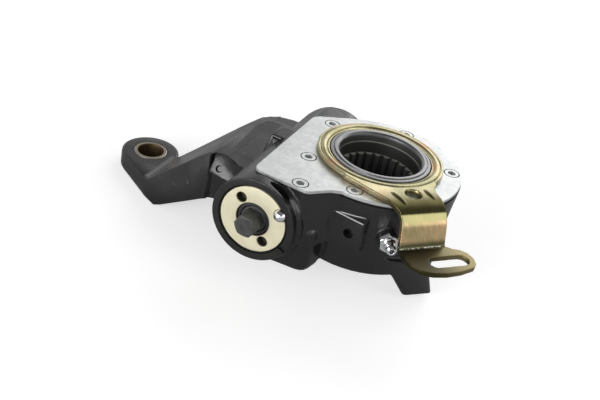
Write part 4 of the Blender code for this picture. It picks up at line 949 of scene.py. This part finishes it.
def soften(obj, width, segments, angle):
    """Rounds the edges that are sharper than an angle."""
    modify(obj, "BEVEL", width=width * MM, segments=segments, limit_method="ANGLE",
           angle_limit=math.radians(angle), harden_normals=True)


gasket_holes = [ring_of(3.1, 16, x, y) for x, y in SCREW_SPOTS] + [ring_of(HUB_OPENING_R, 120)]
gasket_skin = raised_shape(offset(plate_outline(), -0.6), *GASKET_Z, gasket_holes)
gasket = made("plate_gasket", gasket_skin, gasket_fibre(), 40)
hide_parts("gasket")
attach(gasket, "body")

ZINC = plate_zinc()
plate_holes = [ring_of(5.1, 40, x, y) for x, y in SCREW_SPOTS] + [ring_of(37.6, 128)]
plate = made("cover_plate_sheet", raised_shape(plate_outline(), *PLATE_Z, plate_holes), ZINC)
soften(plate, 0.42, 3, 40)
settle(plate)
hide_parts("cover_plate")
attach(plate, "body")


# Plate screws: six countersunk socket screws, driven flush with the plate.
# Each head is turned from bar and zinc plated; the tree sets one down at each point, turned at random as a
# driver leaves it.

SCREW_SIZES = {
    "Head Radius": 4.45, "Head Depth": 2.5, "Shank Radius": 2.5, "Length": 7.3, "Socket Radius": 2.7,
    "Socket Depth": 2.1,
}
SOCKET_TURN = 1.05


def screw_tree(finish):
    """Geometry nodes that set a screw, its cone head with a hexagonal socket, at every point of a mesh."""
    tree = bpy.data.node_groups.new("countersunk_screws", "GeometryNodeTree")
    tree.interface.new_socket("Geometry", in_out="OUTPUT", socket_type="NodeSocketGeometry")
    tree.interface.new_socket("Places", in_out="INPUT", socket_type="NodeSocketGeometry")
    for name in SCREW_SIZES:
        tree.interface.new_socket(name, in_out="INPUT", socket_type="NodeSocketFloat")
    build = Nodes(tree)

    def given(name):
        return build.node("NodeGroupInput", output=name)

    def cylinder(sides, radius, depth):
        sizes = {"Vertices": sides, "Radius": radius, "Depth": depth}
        return build.node("GeometryNodeMeshCylinder", None, sizes)

    def down(geometry, depth):
        drop = build.node("ShaderNodeCombineXYZ", None, {"Z": 0.0 - depth})
        return build.node("GeometryNodeTransform", None, {"Geometry": geometry, "Translation": drop})

    head_depth, shank_radius, socket_depth = given("Head Depth"), given("Shank Radius"), given("Socket Depth")
    cone = build.node("GeometryNodeMeshCone", None, {
        "Vertices": 48, "Side Segments": 1, "Radius Top": given("Head Radius"), "Radius Bottom": shank_radius,
        "Depth": head_depth,
    })
    socket = cylinder(6, given("Socket Radius"), socket_depth)
    head = build.node("GeometryNodeMeshBoolean", {"operation": "DIFFERENCE", "solver": "EXACT"}, {
        "Mesh 1": down(cone, head_depth), "Mesh 2": down(socket, socket_depth * 0.5),
    })
    shank_length = given("Length") - head_depth
    shank = down(cylinder(24, shank_radius, shank_length), shank_length * 0.5 + head_depth)
    screw = build.node("GeometryNodeJoinGeometry", None, {0: [shank, head]})
    turn = build.node("FunctionNodeRandomValue", {"data_type": "FLOAT"},
                      {"Min": 0.0, "Max": SOCKET_TURN, "Seed": 5}, "Value")
    angles = build.node("ShaderNodeCombineXYZ", None, {"Z": turn})
    rows = build.node("GeometryNodeInstanceOnPoints", None, {
        "Points": given("Places"), "Instance": screw, "Rotation": angles,
    })
    real = build.node("GeometryNodeRealizeInstances", None, {"Geometry": rows})
    painted = build.node("GeometryNodeSetMaterial", None, {"Geometry": real, "Material": finish})
    build.join(tree.nodes.new("NodeGroupOutput").inputs[0], painted)
    return tree


def tree_result(name, points, tree, finish, sizes):
    """Runs a tree on a mesh of points and returns what it makes as a plain mesh object."""
    mesh = bpy.data.meshes.new(name)
    mesh.from_pydata([Vector(p) * MM for p in points], [], [])
    obj = placed(name, mesh)
    mod = obj.modifiers.new("places", "NODES")
    mod.node_group = tree
    for item in tree.interface.items_tree:
        if item.in_out == "INPUT" and item.name in sizes:
            mod[item.identifier] = sizes[item.name] * MM
    settle(obj, 30)
    obj.data.materials.clear()
    obj.data.materials.append(finish)
    return obj


screw_points = [(x, y, PLATE_Z[1]) for x, y in SCREW_SPOTS]
screws = tree_result("plate_screws", screw_points, screw_tree(ZINC), ZINC, SCREW_SIZES)
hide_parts(*[f"cover_screw_{i + 1}" for i in range(6)])
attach(screws, "body")


# Control arm: the yellow pressed arm that is held to the vehicle, so that the housing turns inside it.
# Stamped from 3.4 mm sheet with a rolled ring, two stiffening ribs and a slotted lug, then zinc plated and
# passivated yellow.

SHEET = 3.4
ARM_LOW = 27.6
ARM_BORE_R = COLLAR_R + 0.65
TAB_TURN = -43
FIRST_FOLD = 48.5
BENDS = [(14.0, 38.0), (1.2, 19.0), (4.4, 0.0), (6.0, 15.0), (11.28, 0.0), (5.0, -72.0)]
TAB_LEFT = [(16.5, -31.9), (19.5, -35.9), (50.5, -19.1), (56.0, -16.2), (61.0, -15.3)]
LUG = [
    (69.0, -15.9), (76.0, -16.6), (81.0, -15.6), (87.0, -11.9), (90.4, -5.6), (91.6, 2.9), (91.0, 12.6),
    (88.5, 22.6), (85.6, 25.4), (81.2, 26.7), (75.7, 25.8), (71.8, 22.2), (69.9, 17.6), (66.0, 14.6),
]
TAB_RIGHT = [(58.0, 14.6), (44.5, 14.6), (40.0, 16.0), (36.4, 19.6), (32.4, 21.0)]
LUG_SLOT = (81.2, 1.2, 17.8)
LUG_SLOT_R = 4.7
TAB_HOLE = (45.2, -1.2)
RIBS = [(47.8, -12.3, 6.4, 16), (46.8, 9.1, 5.8, 9)]
PRESSING_VOXEL = 0.42


def yellow_passivate():
    """Olive gold with pink and green drifts, and fine lines drawn down the tab by the press tool; the tab and
    lug carry painted shade and painted glints.
    """
    coat = Finish("yellow_passivated_zinc", (0.6, 0.5, 0.2), 0.3, 0.9)
    with_tab = (0, 0, math.radians(-TAB_TURN))
    place = coat.spot(turn=with_tab)
    outwards, across, height = coat.along("X", place), coat.along("Y", place), coat.along("Z", place)
    drift = coat.grain(place, 42, 3.0, 0.6)
    patch = coat.grain(coat.spot(shift=(0.3, 0.1, 0)), 95, 3.0)
    lines = coat.grain(coat.spot(turn=with_tab, scale=(0.08, 1.0, 0.08)), 1500, 2.0)
    gold = coat.node("ShaderNodeValToRGB", {"stops": [
        (0.30, (0.23, 0.24, 0.16)), (0.43, (0.31, 0.28, 0.145)), (0.54, (0.42, 0.38, 0.225)),
        (0.64, (0.45, 0.28, 0.16)), (0.76, (0.27, 0.30, 0.23)),
    ]}, {0: drift * 0.75 + patch * 0.25})
    # Painted reflection: the tab's flat top before the first fold is painted dark olive; the streaked flank
    # below keeps the coat's own colours.
    tab_streaks_and_painted_shade = coat.between(outwards, 0.036, 0.053) * (0.8 + 0.3 * patch)
    strip = 1 - coat.between(height, 0.0269, 0.0273)
    drawn = 1 - coat.between(height, 0.0225, 0.0240)
    # Painted shade: a dark band at the second fold, with painted glints in a thin line along the fold's edge.
    root = 1 - coat.between(height, 0.0100, 0.0135)
    lug = 1 - coat.between(height, 0.0085, 0.0088)
    glint = coat.between(height, 0.0085, 0.0087) * (1 - coat.between(height, 0.0089, 0.0092))
    glint = glint * coat.between(coat.grain(place, 700, 1.0), 0.46, 0.58)
    # Painted shade across the lug: darker towards its left edge, lighter towards its right.
    painted_lug_light = coat.between(across, -0.006, 0.026) * (0.7 + 0.3 * drift)
    streaks = coat.between(0.55 * drift + 0.45 * lines, 0.36, 0.64)
    flank = coat.blend(streaks, (0.29, 0.26, 0.12), (0.54, 0.37, 0.21))
    bent = coat.blend(drawn, (0.27, 0.25, 0.115), flank)
    tab = coat.blend(root, coat.blend(strip, (0.085, 0.075, 0.026), bent), (0.08, 0.078, 0.04))
    tab = coat.blend(glint, tab, (0.62, 0.61, 0.56))
    tab = coat.blend(lug, tab, coat.blend(painted_lug_light, (0.05, 0.042, 0.018), (0.26, 0.215, 0.105)))
    coat.feed(
        Base_Color=coat.blend(tab_streaks_and_painted_shade.maths("MAXIMUM", tab_streaks_and_painted_shade, strip), gold, tab),
        Roughness=0.22 + 0.12 * patch + 0.08 * drawn,
        Normal=coat.raised(lines * (0.5 + 1.2 * drawn) + patch * 0.4, 0.02, 0.5),
    )
    return coat.material


def on_tab(outwards, across, z):
    """A place by its distance out along the tab and across it."""
    return spun(TAB_TURN, "Z") @ at(outwards, across, z)


def bend_path():
    """The sheet's underside from the first fold on: flat length, place along, drop and downward slope."""
    path = [(FIRST_FOLD, FIRST_FOLD, 0.0, 0.0)]
    for size, degrees in BENDS:
        turn = math.radians(degrees)
        steps = max(1, round(abs(degrees) / 4))
        for k in range(steps):
            flat, x, drop, slope = path[-1]
            if degrees:
                sign = math.copysign(1, turn)
                after = slope + turn / steps
                path.append((flat + size * abs(turn) / steps,
                             x + sign * size * (math.sin(after) - math.sin(slope)),
                             drop + sign * size * (math.cos(slope) - math.cos(after)), after))
            else:
                path.append((flat + size, x + size * math.cos(slope), drop + size * math.sin(slope), slope))
    return path


def tab_blank():
    """The tab and lug, cut flat and then folded along the path."""
    path = bend_path()
    shift = path[-1][0] - path[-1][1]
    slot_along, slot_near, slot_far = LUG_SLOT
    slot = arc(slot_along + shift, slot_far, LUG_SLOT_R, 0, 180, 16)
    slot += arc(slot_along + shift, slot_near, LUG_SLOT_R, 180, 360, 16)
    lug = [(along + shift, across) for along, across in LUG]
    outline = eased(TAB_LEFT + lug + TAB_RIGHT, 2.5, 4)
    blank = raised_shape(outline, 0, SHEET, [slot])
    for station in path:
        sliced(blank, (station[0], 0, 0), (1, 0, 0), dist=1e-7)
    for vert in blank.verts:
        flat, height = vert.co.x / MM, vert.co.z / MM
        if flat <= path[0][0] + 1e-6:
            continue
        here = [i for i in range(len(path) - 1) if path[i][0] <= flat + 1e-6][-1]
        first, last = path[here], path[here + 1]
        share = (flat - first[0]) / (last[0] - first[0])
        if share > 1:
            x, drop, slope = last[1] + flat - last[0], last[2], 0.0
        else:
            x, drop, slope = (a + (b - a) * share for a, b in zip(first[1:], last[1:]))
        vert.co.x = (x + height * math.sin(slope)) * MM
        vert.co.z = (height * math.cos(slope) - drop) * MM
    bmesh.ops.transform(blank, matrix=on_tab(0, 0, ARM_LOW), verts=blank.verts)
    return blank


def pressed_ribs():
    """Two raised darts that stiffen the first fold."""
    return [globe(1.0, 32, 16, on_tab(outwards, across, ARM_LOW + 2.6)
                  @ spun(turn, "Z") @ spun(5, "Y") @ Matrix.Diagonal((length, 1.7, 1.9, 1.0)))
            for outwards, across, length, turn in RIBS]


low = ARM_LOW
ring_profile = [
    (ARM_BORE_R, low + 0.3), (39.0, low), (39.7, low + 0.6), (39.7, low + 2.2), (39.35, low + 2.75),
    (38.7, low + 2.9), (38.2, low + 2.75), (38.0, low + 2.1), (37.75, low + 2.1), (37.5, low + 3.0),
    (36.9, low + 3.4), (35.6, low + 3.55), (34.5, low + 3.3), (33.7, low + 2.7), (33.45, low + 2.0),
    (33.2, low + 2.0), (33.0, low + 2.5), (ARM_BORE_R, low + 2.4),
]
YELLOW = yellow_passivate()
blank = made("folded_blank", tab_blank(), YELLOW)
shaped(blank, [rod(37.9, low - 5, low + 8, 160)])
settle(blank)
arm = made("control_arm_pressing", merged(taken(blank), *pressed_ribs()), YELLOW)
modify(arm, "REMESH", mode="VOXEL", voxel_size=PRESSING_VOXEL * MM, use_smooth_shade=True)
modify(arm, "SMOOTH", factor=0.5, iterations=3)
shaped(arm, [turned(ring_profile, 200)], "UNION")
tab_hole = [(0, low - 4), (5.1, low - 4), (5.1, low + 3.0), (5.7, low + 3.6), (5.7, low + 8), (0, low + 8)]
shaped(arm, [turned(tab_hole, 48, on_tab(*TAB_HOLE, 0))])
settle(arm, 50)
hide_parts("control_arm")
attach(arm, "control")


# Grease nipple: screwed into the hub's front wall, where grease reaches the worm wheel.
# Turned from hexagon bar and nickel bright, with a rolled head and a spring-loaded ball in its mouth.

NUT_FLATS = 11.0
NUT_Z = (1.3, 5.3)

nipple_profile = eased([
    (1.3, -6.0), (4.0, -6.0), (4.0, 2.4), (4.3, 5.3), (3.6, 5.7), (3.3, 7.2), (2.5, 8.3), (2.5, 9.2),
    (3.3, 10.0), (3.3, 11.2), (2.4, 12.4), (1.3, 12.4),
], 0.35, 4)
nipple_body = turned(nipple_profile, 72, on_nipple())
nut = made("nipple_nut", raised_shape(hexagon(NUT_FLATS, 8), *NUT_Z, (), on_nipple()), BRIGHT)
corner = corner_reach(NUT_FLATS)
nut_trim = [(0, NUT_Z[0]), (5.7, NUT_Z[0]), (corner, 1.8), (corner, 4.8), (5.6, NUT_Z[1]), (0, NUT_Z[1])]
shaped(nut, [turned(nut_trim, 96, on_nipple())], "INTERSECT")
soften(nut, 0.15, 2, 25)
settle(nut, 30)
nipple = made("nipple_body", merged(nipple_body, taken(nut)), BRIGHT, 30)
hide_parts("grease_nipple")
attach(nipple, "body")
stopper = made("nipple_stopper", globe(1.0, 24, 16, on_nipple(11.7)), PHOSPHATE)
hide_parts("nipple_ball")
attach(stopper, "body")


# Floor, light and camera: a pale studio floor, soft lamps behind, at the right and low in front, and the
# camera where the photograph was taken. The air is pale at the horizon and darker overhead, as in a studio.

def studio_floor():
    """Pale paper that the camera sees white; it keeps the part's shadow."""
    paper = Finish("studio_paper", (0.55, 0.55, 0.55), 0.9, 0.0, Emission_Strength=0.6)
    seen = paper.node("ShaderNodeLightPath", output="Is Camera Ray")
    paper.feed(Emission_Color=paper.blend(seen, (0, 0, 0), (1, 1, 1)))
    return paper.material


floor_z = cad_box[0][2] - 0.2 * MM
floor_corners = [(-4, -4, floor_z), (4, -4, floor_z), (4, 6, floor_z), (-4, 6, floor_z)]
paper_sheet = bpy.data.meshes.new("studio_floor")
paper_sheet.from_pydata(floor_corners, [], [(0, 1, 2, 3)])
paper_sheet.materials.append(studio_floor())
floor = placed("studio_floor", paper_sheet)


def soft_lamp(name, place, aim, size, power):
    """A square lamp that faces a point."""
    lamp = bpy.data.lights.new(name, "AREA")
    lamp.size = size
    lamp.energy = power
    obj = placed(name, lamp)
    obj.location = place
    obj.rotation_euler = (Vector(aim) - Vector(place)).to_track_quat("-Z", "Y").to_euler()


soft_lamp("back_softbox", (0.1, 1.0, 0.75), (-0.04, 0.0, 0.0), 1.0, 6)
soft_lamp("right_softbox", (1.0, -0.1, 0.55), (0.0, 0.0, 0.0), 0.6, 2.5)
soft_lamp("front_fill", (-0.4, -1.1, 0.29), (-0.06, -0.02, 0.0), 0.65, 9)

world = bpy.data.worlds.new("studio_air")
bpy.context.scene.world = world
world.use_nodes = True
sky = Nodes(world.node_tree)
height = sky.node("ShaderNodeSeparateXYZ", None, {0: sky.node("ShaderNodeTexCoord", output="Generated")}, "Z")
ceiling = sky.node("ShaderNodeMapRange", {"interpolation_type": "SMOOTHSTEP"}, {
    "Value": height, "From Min": 0.42, "From Max": 0.64, "To Min": 0.95, "To Max": 0.16,
})
air = sky.tree.nodes["Background"].inputs
sky.join(air["Color"], (1, 1, 1, 1))
sky.join(air["Strength"], ceiling)

lens = bpy.data.cameras.new("photo_camera")
lens.sensor_width = 36
lens.lens = 53.915
lens.clip_start = 0.01
right, down = (0.89076, 0.413324, 0.188971), (0.369101, -0.415329, -0.831424)
forward = (-0.265162, 0.810349, -0.522517)
axes = Matrix((right, [-v for v in down], [-v for v in forward])).transposed()
camera = placed("photo_camera", lens)
camera.matrix_world = Matrix.Translation((0.112715, -0.480970, 0.287035)) @ axes.to_4x4()
bpy.context.scene.camera = camera
bpy.context.scene.view_settings.view_transform = "Standard"
